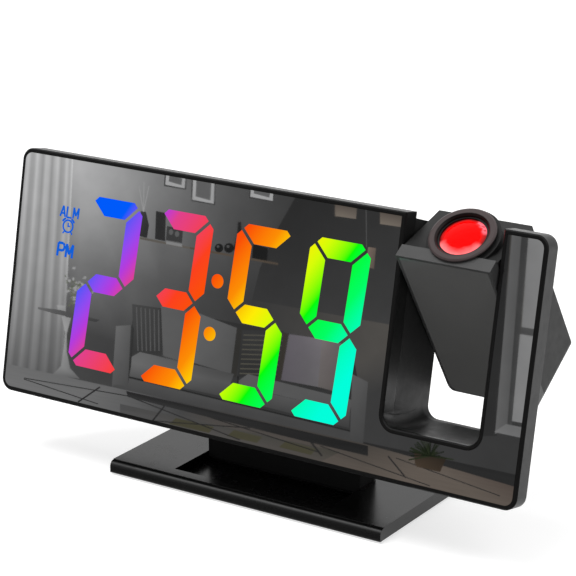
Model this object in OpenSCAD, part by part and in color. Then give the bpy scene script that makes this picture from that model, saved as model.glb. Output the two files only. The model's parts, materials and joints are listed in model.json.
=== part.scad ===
// Mirror-faced projection alarm clock on a low stand.
//
// Frame: +Z up, +X to the right seen from the front, +Y to the back. The origin is the
// centre of the stand's underside, on the surface that the clock stands on.
// Clock pieces are drawn in the clock's own frame: x across, y into the clock from the
// face of its panel, z up the panel. at_clock() leans that frame back on the stand.
// Projector pieces are drawn about the head's axle: y from its mirror to its back,
// z up the head. at_head() puts that frame in the slot, opened by head_open.

/* [Clock body] */
// Width of the clock
clock_w = 190; // [180:1:215]
// Height of the panel, measured along it
clock_h = 79.8; // [76:0.2:90]
// Depth from the face of the panel to the back
clock_d = 27.5; // [26:0.5:32]
// Angle that the panel leans back
lean = 11.8; // [8:0.2:15]
// Height of the panel's lower edge above the table
clock_lift = 20.3; // [19.5:0.1:24]
// Corner radius of the panel
panel_r = 4; // [3:0.5:6]
// Depth of the front frame
frame_d = 6.2; // [5.8:0.1:7]
// Width of the frame's visible rim round the mirror
rim_w = 1.3; // [1:0.1:2]
// Chamfer on the rim's front edge
rim_chamfer = 0.4; // [0.2:0.1:0.6]
// Thickness of the mirror panel
mirror_t = 1.8; // [1.5:0.1:2.2]
// Thickness of the frame's floor behind the mirror
floor_t = 1.6; // [1.4:0.1:2]
// Step from the frame's edge in to the rear housing
housing_inset = 2; // [1.8:0.1:2.4]
// Angle that the housing's ends taper inwards to the back
side_draft = 29.5; // [28:0.5:31]
// Angle that the housing's top falls to the back
top_draft = 8; // [6:0.5:12]
// Wall of the rear housing
wall = 2; // [1.6:0.1:2.4]
// Radius of the housing's back edges
back_r = 3.5; // [2:0.5:4]

/* [Projector slot] */
// Width of the slot that the projector swings in
slot_w = 32; // [31:0.5:36]
// Width of the column to the right of the slot
column_w = 14.5; // [14:0.5:18]
// Height of the slot's floor above the panel's lower edge
slot_floor = 16; // [15:0.5:18]
// Radius of the slot's lower corners
slot_r = 4; // [3:0.5:5]

/* [Projector head] */
// Angle that the head is swung open
head_open = 45; // [0:5:90]
// Gap beside the head in the slot
head_gap = 0.5; // [0.4:0.05:0.8]
// Gap under the closed head
foot_gap = 0.6; // [0.5:0.1:1]
// Distance that the closed head stays in front of the housing's back
head_back_gap = 2.1; // [1.5:0.1:3]
// Height of the axle below the panel's upper edge
axle_drop = 11.8; // [11:0.2:13]
// Thickness of the head's front shell
plate_t = 4.5; // [4:0.1:5]
// Drop behind the front shell, where the sloping top starts
top_step = 0.9; // [0.5:0.1:1.2]
// Slope of the top behind the front shell
top_slope = 17.8; // [14:0.2:20]
// Wall of the head's shells
head_wall = 1.8; // [1.4:0.1:2.2]
// Radius of the axle stubs
axle_r = 3; // [2.6:0.1:3.4]
// Running clearance of the turning fits
run_fit = 0.06; // [0.03:0.01:0.09]

/* [Lens] */
// Distance of the lens axis to the right of the head's middle
lens_x = 1.6; // [0:0.1:2]
// Distance of the lens axis in front of the axle
lens_y = 1.6; // [0.5:0.1:1.8]
// Radius of the focus ring's grip
ring_r = 10.25; // [9.8:0.05:10.8]
// Radius of the focus ring's skirt
skirt_r = 8.6; // [8.4:0.1:9]
// Thickness of the focus ring's grip
grip_t = 0.9; // [0.8:0.1:1.4]
// Wall of the lens collar
collar_wall = 2.7; // [2:0.1:3]
// Wall of the lens carrier
carrier_wall = 0.6; // [0.5:0.05:0.7]
// Bulge of the front lens
lens_bulge = 1.5; // [1.2:0.1:2]

/* [Display] */
// Height of a digit
digit_h = 55; // [48:0.5:57]
// Width of a digit
digit_w = 21.2; // [19:0.2:22]
// Distance between the two digits of a pair
digit_pitch = 26.7; // [25.5:0.1:27.5]
// Distance between the two pairs, across the colon
colon_pitch = 30.1; // [29:0.1:31]
// Width of one segment
seg_t = 5.8; // [4.6:0.1:6.2]
// Gap between neighbouring segments
seg_gap = 1.1; // [0.9:0.1:1.5]
// Slant of the digits
slant = 2.8; // [0:0.1:5]
// Radius of a colon dot
dot_r = 2.2; // [1.6:0.1:2.6]
// Thickness of the light bars
bar_t = 1.8; // [1.2:0.1:2.4]
// Depth of the light mask
mask_d = 6.2; // [5.6:0.1:7]

/* [Boards] */
// Thickness of a circuit board
board_t = 1.6; // [1.2:0.1:2]
// Radius of the screw posts
post_r = 2.7; // [2.5:0.1:2.9]
// Radius of a housing screw's shank
screw_r = 1.25; // [1:0.05:1.4]
// Diameter of the coin cell
cell_dia = 20; // [16:0.5:20]
// Thickness of the coin cell
cell_t = 3.2; // [2:0.2:3.2]
// Diameter of the buzzer
buzzer_dia = 14; // [12:1:18]

/* [Keys] */
// Number of keys on the back
key_count = 5; // [5:1:5]
// Length of a key
key_w = 10.6; // [9:0.2:12]
// Height of a key
key_h = 5; // [4:0.2:6]
// Distance between neighbouring keys
key_pitch = 15; // [14:0.5:16]
// Travel of a key
key_travel = 0.5; // [0.3:0.1:0.6]
// Length of the snooze bar
snooze_w = 46; // [30:1:56]
// Depth of the snooze bar
snooze_d = 8; // [6:0.5:9]

/* [Stand] */
// Width of the base
base_w = 101; // [90:1:130]
// Depth of the base
base_d = 52; // [50:1:60]
// Height of the base with its pad
base_h = 4.5; // [4.4:0.1:6]
// Wall of the base cover
base_wall = 1.2; // [1:0.1:1.6]
// Radius of the base's front and back edges
base_edge_r = 1.9; // [1.2:0.1:2]
// Thickness of the base plate
plate_sheet = 0.6; // [0.5:0.1:0.8]
// Thickness of the non-slip pad
pad_t = 0.5; // [0.4:0.1:0.8]
// Distance from the base's front edge to the recess
recess_front = 5.6; // [4:0.1:7]
// Width of the neck
neck_w = 57.4; // [50:0.2:70]
// Thickness of the neck
neck_t = 9.4; // [7:0.2:10]
// Distance from the base's front edge to the neck
neck_setback = 24; // [23.5:0.1:24.5]
// Height of the bracket's back plate
bracket_h = 26; // [22:1:30]
// Radius of the stand's hinge pin
pin_r = 0.8; // [0.7:0.05:0.9]
// Radius of the neck's hinge barrel
barrel_r = 1.65; // [1.6:0.05:1.8]
// Distance from the neck's front face to its hinge
hinge_set = 2.3; // [2.2:0.1:2.6]

/* [Hidden] */
$fn = 48;
fit = 0.1;             // gap between fixed neighbours that slide together
snap = 0.3;            // gap round a piece dropped into its seat
tiny = 0.01;           // overshoot of a cut

// Clock frame
half_w = clock_w / 2;
clock_y = -base_d / 2;
slot_x = half_w - column_w - slot_w / 2;
slot_left = slot_x - slot_w / 2;
slot_right = slot_x + slot_w / 2;
floor_y = mirror_t + floor_t;
shoulder_y = mirror_t + mask_d;
board_y = shoulder_y + board_t;
back_y = clock_d;
inner_y = clock_d - wall;
inner_edge = housing_inset + wall;
hollow_r = max(back_r - wall, 0.8);
lip_t = 1.1;
lip_reach = 1.6;
slot_floor_wall = 3.4;

// Head frame
head_w = slot_w - 2 * head_gap;
head_d = clock_d - head_back_gap;
axle_y = head_d / 2;
axle_z = clock_h - axle_drop;
head_top = axle_drop;
head_foot = slot_floor + foot_gap - axle_z;
head_r = slot_r - head_gap;
plate_back = plate_t - axle_y;
foot_r = 1.2;
swing_r = norm([axle_y, head_foot]) + 0.4;
slope_top = head_top - top_step;
slope_foot = slope_top - (head_d - plate_t) * tan(top_slope);
cover_t = 1.2;
cover_edge = 0.8;
head_posts = [for (x = [-1, 1]) [x * (head_w / 2 - head_wall - 2.2), head_foot + head_wall + 4]];
bush_r = axle_r + run_fit + 1.2;
bush_flange = 0.8;

// Lens
collar_r = skirt_r + collar_wall;
collar_top = head_top - 0.7;
ring_top = head_top + 0.3 + grip_t;
skirt_foot = collar_top - 7;
ring_wall = 0.85;
carrier_r = skirt_r - ring_wall - run_fit;
carrier_top = ring_top - 1.1;
carrier_foot = skirt_foot - 3;
focus_travel = 0.6;
lens_r = carrier_r - carrier_wall;
lens_edge = carrier_top - 0.5;
collar_foot = carrier_foot - focus_travel - 0.9;
lug_w = 2.2;

// Light engine, down the lens axis
engine_w = 18;
engine_top = collar_foot - 0.4;
engine_len = 27;
slide_drop = 9;
condenser_drop = 15;
condenser_r = 6.9;

// Display
panel_w = slot_left + half_w;
spread = panel_w / 143.5; // the digits spread with the panel to the left of the slot
digit_z = 0.509 * clock_h;
display_x = slot_left - 0.4425 * panel_w;
cell_w = digit_w * spread;
outer = colon_pitch / 2 + digit_pitch;
digit_x = [for (k = [-outer, -colon_pitch / 2, colon_pitch / 2, outer]) display_x + k * spread];
colon_rise = digit_h * 0.151;
seg_clip = seg_t * 0.25;
icon_w = 8 * spread;
icon_x = digit_x[0] - (cell_w + icon_w) / 2 - 2.6 * spread;
icons = [[18.4, 9.2], [8.4, 4.8]];
mask_edge = 1;
lean_w = digit_h / 2 * tan(slant);
mask_left = icon_x - icon_w / 2 - 2 * mask_edge;
mask_right = digit_x[3] + cell_w / 2 + lean_w + mask_edge;
board_right = slot_left - wall - 1.2;
mask_low = digit_z - digit_h / 2 - 3;
mask_high = digit_z + digit_h / 2 + 3;

// Screw posts of the front frame
post_low = 9;
post_high = clock_h - 11;
post_mid = axle_z - 12;
post_left = mask_left - snap - post_r;
post_centre = mask_right + snap + post_r;
post_column = slot_right + wall + post_r;
post_foot = slot_x + slot_w * 0.28;
column_shoulder = frame_d + 0.4;
column_spigot = 2.4;
column_seat = column_shoulder + column_spigot + 2;
column_screw = 6;
board_posts = [[post_left, post_low], [post_left, post_high], [post_centre, post_low], [post_centre, post_mid]];
column_post = [post_column, post_mid];
foot_post = [post_foot, slot_floor - 7.3];
long_posts = concat(board_posts, [foot_post]);
spigot_r = post_r - 0.8;
spigot_len = 3.6;
tube_r = 3.5;
head_seat_y = 14;
seat_web = 1.4;
screw_head_r = 2.2;
screw_len = 9;

// Keys, battery and sockets on the back
key_z = clock_h - 20;
key_x0 = -half_w + 26;
key_x = [for (k = [0:key_count - 1]) key_x0 + k * key_pitch];
key_proud = 1;
key_flange = 0.8;
key_stem_y = inner_y - 3;
key_board_y = inner_y - 7.1;
key_posts = [key_x[0] + key_pitch / 2, key_x[key_count - 1] - key_pitch / 2];
door_w = cell_dia + 10;
battery_x = -half_w + 1.1 * door_w;
battery_z = slot_floor + 0.55 * cell_dia;
door_h = cell_dia + 8;
door_t = 1.2;
cup_wall = 1.3;
cell_back_y = back_y - door_t - 0.2;
buzzer_x = 22;
buzzer_z = 50;
buzzer_t = 4.5;
inlet_x = -39;
inlet_z = 10;
inlet_w = 8.9;
inlet_h = 3.2;
inlet_len = 7.3;
snooze_x = -35;
snooze_y = board_y + snooze_d / 2 + 1.4;
snooze_proud = 0.9;
snooze_y0 = snooze_y - snooze_d / 2;
snooze_y1 = snooze_y + snooze_d / 2;
snooze_in = housing_top(snooze_y1 + 1) - wall / cos(top_draft);

// Stand
hinge_y = clock_y + neck_setback + hinge_set;
neck_rear = clock_y + neck_setback + neck_t;
hinge_z = pad_t + plate_sheet + 0.3 + barrel_r;
recess_w = neck_w + 0.4;
recess_y0 = clock_y + recess_front;
recess_y1 = neck_rear + 1.6;
plate_top = pad_t + plate_sheet;
pin_seat = 4.5;
bracket_t = 3.5;
weight_h = base_h - base_wall - plate_top - 0.3;
bracket_screw_x = 18;
bracket_screw_z = 16;
base_post_x = recess_w / 2 - 4;
base_posts = [for (x = [-1, 1], y = [clock_y + recess_front / 2 + 0.6, base_d / 2 - 6]) [x * base_post_x, y]];
// Weights under the cover, each as its low corner, width and depth
weight_edge = base_wall + 1 + base_edge_r;
weight_in = recess_w / 2 + pin_seat + 1;
side_weight = [base_w / 2 - weight_edge - weight_in, base_d - 2 * weight_edge];
weights = [
    [-base_w / 2 + weight_edge, -side_weight[1] / 2, side_weight[0], side_weight[1]],
    [weight_in, -side_weight[1] / 2, side_weight[0], side_weight[1]],
    [-base_post_x + 3, recess_y1 + 2, 2 * base_post_x - 6, base_d / 2 - weight_edge - recess_y1 - 2]];

// ---------------------------------------------------------------- frames and helpers

module at_clock() translate([0, clock_y, clock_lift]) rotate([-lean, 0, 0]) children();

module at_head() at_clock() translate([slot_x, axle_y, axle_z]) rotate([head_open, 0, 0]) children();

module at_lens() at_head() translate([lens_x, -lens_y, 0]) children();

// Draws a flat shape in x and z as a slab from depth y0 to y1.
module slab(y0, y1) translate([0, y1, 0]) rotate([90, 0, 0]) linear_extrude(y1 - y0) children();

// Draws a side view, given as y and z, as a bar from x0 to x1.
module side_bar(x0, x1) translate([x0, 0, 0]) rotate([90, 0, 90]) linear_extrude(x1 - x0) children();

// A cylinder that runs into the clock, from depth y0 to y1.
module rod_y(x, z, r, y0, y1) translate([x, y1, z]) rotate([90, 0, 0]) cylinder(r = r, h = y1 - y0);

// A cylinder along x.
module rod_x(r, x0, x1) translate([x0, 0, 0]) rotate([0, 90, 0]) cylinder(r = r, h = x1 - x0);

// Rectangle with round corners, from corner (x0, z0) to corner (x1, z1).
module round_rect(x0, z0, x1, z1, r) {
    translate([x0 + r, z0]) square([x1 - x0 - 2 * r, z1 - z0]);
    translate([x0, z0 + r]) square([x1 - x0, z1 - z0 - 2 * r]);
    for (x = [x0 + r, x1 - r], z = [z0 + r, z1 - r]) translate([x, z]) circle(r);
}

// Outline of the panel, moved in by inset.
module panel_outline(inset = 0)
    round_rect(-half_w + inset, inset, half_w - inset, clock_h - inset, max(panel_r - inset, 0.8));

// The projector slot, open at the top, grown by side and by under at its floor.
module slot_outline(side = 0, under = 0) {
    r = slot_r + side;
    high = clock_h + 2;
    translate([slot_left - side, slot_floor - under + r]) square([slot_w + 2 * side, high - slot_floor]);
    translate([slot_left - side + r, slot_floor - under]) square([slot_w + 2 * side - 2 * r, r + 1]);
    for (x = [slot_left - side + r, slot_right + side - r]) translate([x, slot_floor - under + r]) circle(r);
}

// The turned hollow that the head's foot sweeps through: a drum about the axle with round rims.
module swing_room() translate([slot_x, axle_y, axle_z]) {
    rod_x(swing_r, -slot_w / 2 + slot_r, slot_w / 2 - slot_r, $fn = 180);
    for (s = [0, 1]) mirror([s, 0, 0]) translate([slot_w / 2 - slot_r, 0, 0]) rotate([0, 90, 0]) rotate_extrude($fn = 180)
        intersection() {
            translate([swing_r - slot_r, 0]) circle(slot_r);
            translate([swing_r - slot_r, 0]) square(slot_r + 1);
        }
}

// A stadium, longer along x.
module stadium(w, h) {
    square([w - h, h], center = true);
    for (x = [-1, 1]) translate([x * (w - h) / 2, 0]) circle(h / 2);
}

// ---------------------------------------------------------------- stand

// Side view of the base: round front and back edges under a slightly raised top.
module base_profile(low) {
    y1 = base_d / 2;
    edge_z = base_h - 0.2;
    translate([-y1, low]) square([base_d, edge_z - base_edge_r - low]);
    translate([-y1 + base_edge_r, low]) square([base_d - 2 * base_edge_r, base_h - low]);
    for (y = [-y1 + base_edge_r, y1 - base_edge_r]) translate([y, edge_z - base_edge_r]) circle(base_edge_r);
}

module base_cover() color("#101012") difference() {
    side_bar(-base_w / 2, base_w / 2) base_profile(pad_t);
    // seat of the plate
    translate([-base_w / 2 + base_wall, clock_y + base_wall, pad_t - tiny])
        cube([base_w - 2 * base_wall, base_d - 2 * base_wall, plate_sheet + tiny]);
    // recess that the folded neck lies in
    translate([-recess_w / 2, recess_y0, pad_t]) cube([recess_w, recess_y1 - recess_y0, base_h]);
    // hollows for the weights
    for (w = weights) translate([w[0] - snap / 2, w[1] - snap / 2, pad_t])
        cube([w[2] + snap, w[3] + snap, plate_sheet + weight_h + snap / 2]);
    // seats of the hinge pin
    translate([0, hinge_y, hinge_z]) rod_x(pin_r + 0.02, -recess_w / 2 - pin_seat, recess_w / 2 + pin_seat);
    // pilot holes of the base screws
    for (p = base_posts) translate([p[0], p[1], pad_t]) cylinder(r = 0.85, h = base_h - pad_t - 1);
}

module base_plate() color("#17171a") difference() {
    translate([-base_w / 2 + base_wall + fit, clock_y + base_wall + fit, pad_t])
        cube([base_w - 2 * (base_wall + fit), base_d - 2 * (base_wall + fit), plate_sheet]);
    for (p = base_posts) translate([p[0], p[1], pad_t - tiny]) cylinder(r1 = 1.7, r2 = 1.05, h = plate_sheet + 2 * tiny);
}

module base_weights() color("#8a8d92") for (w = weights)
    translate([w[0], w[1], plate_top]) cube([w[2], w[3], weight_h]);

module base_screws() color("#9a9da3") for (p = base_posts) translate([p[0], p[1], pad_t]) {
    cylinder(r1 = 1.65, r2 = 1, h = plate_sheet);
    cylinder(r = 0.8, h = base_h - pad_t - 1.4);
}

module non_slip_pad() color("#1c1c1c") linear_extrude(pad_t)
    round_rect(-base_w / 2 + 3, clock_y + 3, base_w / 2 - 3, -clock_y - 3, 3);

module hinge_pin() color("#b5b8bd") translate([0, hinge_y, hinge_z])
    rod_x(pin_r, -recess_w / 2 - pin_seat, recess_w / 2 + pin_seat);

// A point of the clock's frame, given as depth and height, in the stand's y and z.
function from_clock(y, z) = [clock_y + y * cos(lean) + z * sin(lean), clock_lift - y * sin(lean) + z * cos(lean)];

// Depth in the clock at which height z of the clock lies over the stand's line y.
function depth_over(y, z) = (y - clock_y - z * sin(lean)) / cos(lean);

// Side view of the neck: an upright block that turns into a cradle under and behind the clock.
module neck_profile() {
    join_z = min((neck_rear - clock_y - (back_y + bracket_t) * cos(lean)) / sin(lean), bracket_h - 6);
    front_y = hinge_y - hinge_set;
    polygon([
        [front_y, hinge_z - 0.3],
        [hinge_y + barrel_r, hinge_z - 0.3],
        [neck_rear, base_h + 0.4],
        [neck_rear, from_clock(back_y + bracket_t, join_z)[1] - 2],
        from_clock(back_y + bracket_t, join_z),
        from_clock(back_y + bracket_t, bracket_h - 1),
        from_clock(back_y + bracket_t - 1, bracket_h),
        from_clock(back_y, bracket_h),
        from_clock(back_y, housing_inset),
        from_clock(depth_over(front_y, housing_inset), housing_inset)]);
    translate([hinge_y, hinge_z]) circle(barrel_r);
}

module neck_bracket() color("#131315") difference() {
    side_bar(-neck_w / 2, neck_w / 2) neck_profile();
    translate([0, hinge_y, hinge_z]) rod_x(pin_r + run_fit, -neck_w, neck_w);
    at_clock() {
        for (s = [-1, 1]) {
            rod_y(s * bracket_screw_x, bracket_screw_z, 1.5, back_y - 1, back_y + bracket_t + 1);
            rod_y(s * bracket_screw_x, bracket_screw_z, 2.9, back_y + 1.7, back_y + bracket_t + 1);
        }
        // lightening grooves on the bracket's back
        for (k = [-2:2]) translate([k * 5.2 - 1.7, back_y + bracket_t - 1.2, 11]) cube([3.4, 6, bracket_h - 15]);
    }
}

module bracket_screws() color("#9a9da3") at_clock() for (s = [-1, 1])
    pan_screw(s * bracket_screw_x, bracket_screw_z, back_y + 1.7, 8);

// A pan-head screw driven forward: its head sits on depth seat_y.
module pan_screw(x, z, seat_y, len) difference() {
    union() {
        rod_y(x, z, screw_r, seat_y - len, seat_y + 0.2);
        rod_y(x, z, screw_head_r, seat_y, seat_y + 1.5);
    }
    for (a = [0, 90]) translate([x, seat_y + 1.2, z]) rotate([0, a, 0]) cube([2.8, 1, 0.6], center = true);
}

// ---------------------------------------------------------------- front of the clock

// The frame's outer block, with a chamfered front edge that runs round the corners as cones.
module frame_block() {
    c = rim_chamfer;
    x1 = half_w - panel_r;
    slab(c, frame_d) panel_outline();
    side_bar(-x1, x1) polygon([[0, c], [0, clock_h - c], [c, clock_h], [c, 0]]);
    translate([0, 0, panel_r]) linear_extrude(clock_h - 2 * panel_r)
        polygon([[-half_w + c, 0], [half_w - c, 0], [half_w, c], [-half_w, c]]);
    for (x = [-x1, x1], z = [panel_r, clock_h - panel_r]) cone_y(x, z, panel_r - c, panel_r, 0, c);
}

// A cone along y, from radius r0 at depth y0 to radius r1 at depth y1.
module cone_y(x, z, r0, r1, y0, y1) translate([x, y0, z]) rotate([-90, 0, 0]) cylinder(r1 = r0, r2 = r1, h = y1 - y0);

// The cut that chamfers the slot's front edge, down its sides and round its lower corners.
module slot_chamfer() translate([slot_x, 0, slot_floor]) {
    c = rim_chamfer;
    x0 = slot_w / 2;
    x1 = x0 - slot_r;
    translate([0, 0, slot_r]) linear_extrude(clock_h)
        polygon([[-x0 - c - tiny, -tiny], [x0 + c + tiny, -tiny], [x0, c], [-x0, c]]);
    side_bar(-x1, x1) polygon([[-tiny, -c - tiny], [-tiny, slot_r], [c, slot_r], [c, 0]]);
    for (x = [-x1, x1]) cone_y(x, slot_r, slot_r + c + tiny, slot_r, -tiny, c);
}

module front_frame() color("#1a1a1c") at_clock() difference() {
    union() {
        difference() {
            frame_block();
            slab(-1, mirror_t) difference() {
                panel_outline(rim_w);
                slot_outline(rim_w, rim_w);
            }
            slab(floor_y, frame_d + 1) difference() {
                panel_outline(inner_edge - 0.4);
                slot_outline(wall - 0.4, slot_floor_wall - 0.4);
            }
        }
        for (p = board_posts) post(p, shoulder_y, shoulder_y + spigot_len);
        post(foot_post, board_y, board_y + spigot_len - board_t);
        post(column_post, column_shoulder, column_shoulder + column_spigot);
    }
    slab(-1, frame_d + 1) slot_outline();
    slot_chamfer();
    swing_room();
    // window for the light mask
    slab(mirror_t - 1, floor_y + 1) translate([mask_left - snap, mask_low - snap])
        square([mask_right - mask_left + 2 * snap, mask_high - mask_low + 2 * snap]);
    for (p = concat(long_posts, [column_post])) rod_y(p[0], p[1], screw_r + 0.05, floor_y + 1, board_y + 20);
}

// A screw post with a shoulder and a spigot.
module post(p, shoulder, tip) {
    rod_y(p[0], p[1], post_r, floor_y - 0.5, shoulder);
    rod_y(p[0], p[1], spigot_r, floor_y, tip);
}

module mirror_panel() color([0.12, 0.12, 0.13]) at_clock() slab(0, mirror_t) difference() {
    panel_outline(rim_w + fit);
    slot_outline(rim_w + fit, rim_w + fit);
}

// The seven segments of one digit about its middle, upright; name picks the segment.
function seg_points(name) = let(
        w = cell_w / 2, h = digit_h / 2, k = seg_gap * 0.7071, c = seg_clip, t = seg_t,
        top = [[-w + k + c, h - c], [-w + k + 2 * c, h], [w - k - 2 * c, h], [w - k - c, h - c],
            [w - k - t, h - t], [-w + k + t, h - t]],
        side = [[w - c, h - k - c], [w, h - k - 2 * c], [w, k + t / 2], [w - t / 2, k], [w - t, k + t / 2],
            [w - t, h - k - t]],
        middle = [[-w + k + t / 2, 0], [-w + k + t, t / 2], [w - k - t, t / 2], [w - k - t / 2, 0],
            [w - k - t, -t / 2], [-w + k + t, -t / 2]])
    name == "a" ? top : name == "b" ? side : name == "g" ? middle :
    name == "c" ? [for (p = side) [p[0], -p[1]]] : name == "d" ? [for (p = top) [p[0], -p[1]]] :
    name == "e" ? [for (p = side) [-p[0], -p[1]]] : [for (p = side) [-p[0], p[1]]];

// Leans a point of a digit to the right by the slant.
function slanted(p) = [p[0] + p[1] * tan(slant), p[1]];

// Every light window of the display: digits, colon and the two indicators.
module windows() {
    for (x = digit_x, name = ["a", "b", "c", "d", "e", "f", "g"]) translate([x, digit_z])
        polygon([for (p = seg_points(name)) slanted(p)]);
    for (s = [-1, 1]) translate([display_x + s * colon_rise * tan(slant), digit_z + s * colon_rise]) circle(dot_r);
    for (i = icons) translate([icon_x - icon_w / 2, digit_z + i[0] - i[1] / 2]) square([icon_w, i[1]]);
}

module light_mask() color("#e9e9e6") at_clock() slab(mirror_t, shoulder_y) difference() {
    translate([mask_left, mask_low]) square([mask_right - mask_left, mask_high - mask_low]);
    windows();
}

module light_bars() color([0.95, 0.95, 0.92]) at_clock() slab(mirror_t, mirror_t + bar_t) windows();

// ---------------------------------------------------------------- electronics

module main_board() color("#14532d") at_clock() slab(shoulder_y, board_y) difference() {
    board_left = -half_w + housing_inset + side_in(board_y) + wall / cos(side_draft) + 0.3;
    translate([board_left, inner_edge + lip_t]) square([board_right - board_left, clock_h - 2 * (inner_edge + lip_t)]);
    for (p = board_posts) translate(p) circle(spigot_r + 0.15);
}

// Two lamps behind each upright segment, two behind each flat one and one behind each dot.
module display_leds() color("#f4f1dc") at_clock() {
    rise = [digit_h / 4 - 4, digit_h / 4 + 4];
    for (x = digit_x) {
        for (sx = [-1, 1], sz = [-1, 1], r = rise)
            led(x + sx * (cell_w - seg_t) / 2 + sz * r * tan(slant), digit_z + sz * r);
        for (z = [-1, 0, 1], sx = [-1, 1])
            led(x + sx * 3 + z * (digit_h - seg_t) / 2 * tan(slant), digit_z + z * (digit_h - seg_t) / 2);
    }
    for (s = [-1, 1]) led(display_x + s * colon_rise * tan(slant), digit_z + s * colon_rise);
    for (z = [20.6, 16.2, 8.4]) led(icon_x, digit_z + z);
}

module led(x, z) translate([x - 1.4, shoulder_y - 0.9, z - 0.8]) cube([2.8, 0.9, 1.6]);

// The clock chip with its legs, a driver, the crystal and two capacitors on the board's back.
module board_chips() color("#26262a") at_clock() {
    chip = clock_h / 8;
    pitch = chip / 8;
    translate([display_x - chip / 2, board_y, digit_z - chip / 2]) {
        cube([chip, board_t, chip]);
        for (k = [0:6], z = [-1.2, chip - 0.2]) translate([(k + 0.8) * pitch, 0, z]) cube([0.4 * pitch, 0.4, 1.4]);
    }
    translate([display_x + 2 * chip, board_y, digit_z - chip]) cube([chip / 2, board_t, chip / 3]);
    translate([display_x - 2 * chip, board_y, digit_z + chip / 2]) cube([chip / 2, 1.5 * board_t, chip / 4]);
    for (k = [3.8, 4.6]) rod_y(display_x + k * chip, digit_z - 1.7 * chip, chip / 4, board_y, board_y + chip / 2);
}

module buzzer() color("#1d1d1f") at_clock() difference() {
    rod_y(buzzer_x, buzzer_z, buzzer_dia / 2, inner_y - buzzer_t, inner_y);
    rod_y(buzzer_x, buzzer_z, 1.2, inner_y - 1.5, inner_y + 1);
}

// ---------------------------------------------------------------- rear housing

// How far the housing's ends have moved in at depth y, and the height of its top there.
function side_in(y) = (y - frame_d) * tan(side_draft);
function housing_top(y) = clock_h - housing_inset - (y - frame_d) * tan(top_draft);

// Plan or side view of the housing from low to high, as depth and place: each end is drafted and
// rounded into the back. Everything is moved in by inset.
module back_profile(low, high, draft_low, draft_high, inset = 0) {
    r = max(back_r - inset, 0.8);
    y1 = back_y - inset;
    y0 = frame_d - 1;
    mid_low = low + (y1 - r - frame_d) * tan(draft_low) + (inset + r) / cos(draft_low);
    mid_high = high - (y1 - r - frame_d) * tan(draft_high) - (inset + r) / cos(draft_high);
    polygon([
        [y0, low - tan(draft_low) + inset / cos(draft_low)],
        [y0, high + tan(draft_high) - inset / cos(draft_high)],
        [y1 - r + r * sin(draft_high), mid_high + r * cos(draft_high)],
        [y1 - r, mid_high],
        [y1, mid_high],
        [y1, mid_low],
        [y1 - r, mid_low],
        [y1 - r + r * sin(draft_low), mid_low - r * cos(draft_low)]]);
    // a trace larger than r, so that the curve crosses the straight sides instead of only touching them
    for (v = [mid_low, mid_high]) translate([y1 - r, v]) circle(r + 0.02);
}

// The housing's outer form, or its hollow when moved in by inset.
module housing_form(inset = 0) intersection() {
    side_bar(-half_w, half_w) back_profile(housing_inset, clock_h - housing_inset, 0, top_draft, inset);
    linear_extrude(clock_h) rotate(90) mirror([0, 1])
        back_profile(-half_w + housing_inset, half_w - housing_inset, side_draft, side_draft, inset);
}

module housing_block() intersection() {
    slab(frame_d, back_y) difference() {
        panel_outline(housing_inset);
        slot_outline();
    }
    housing_form();
}

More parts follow.
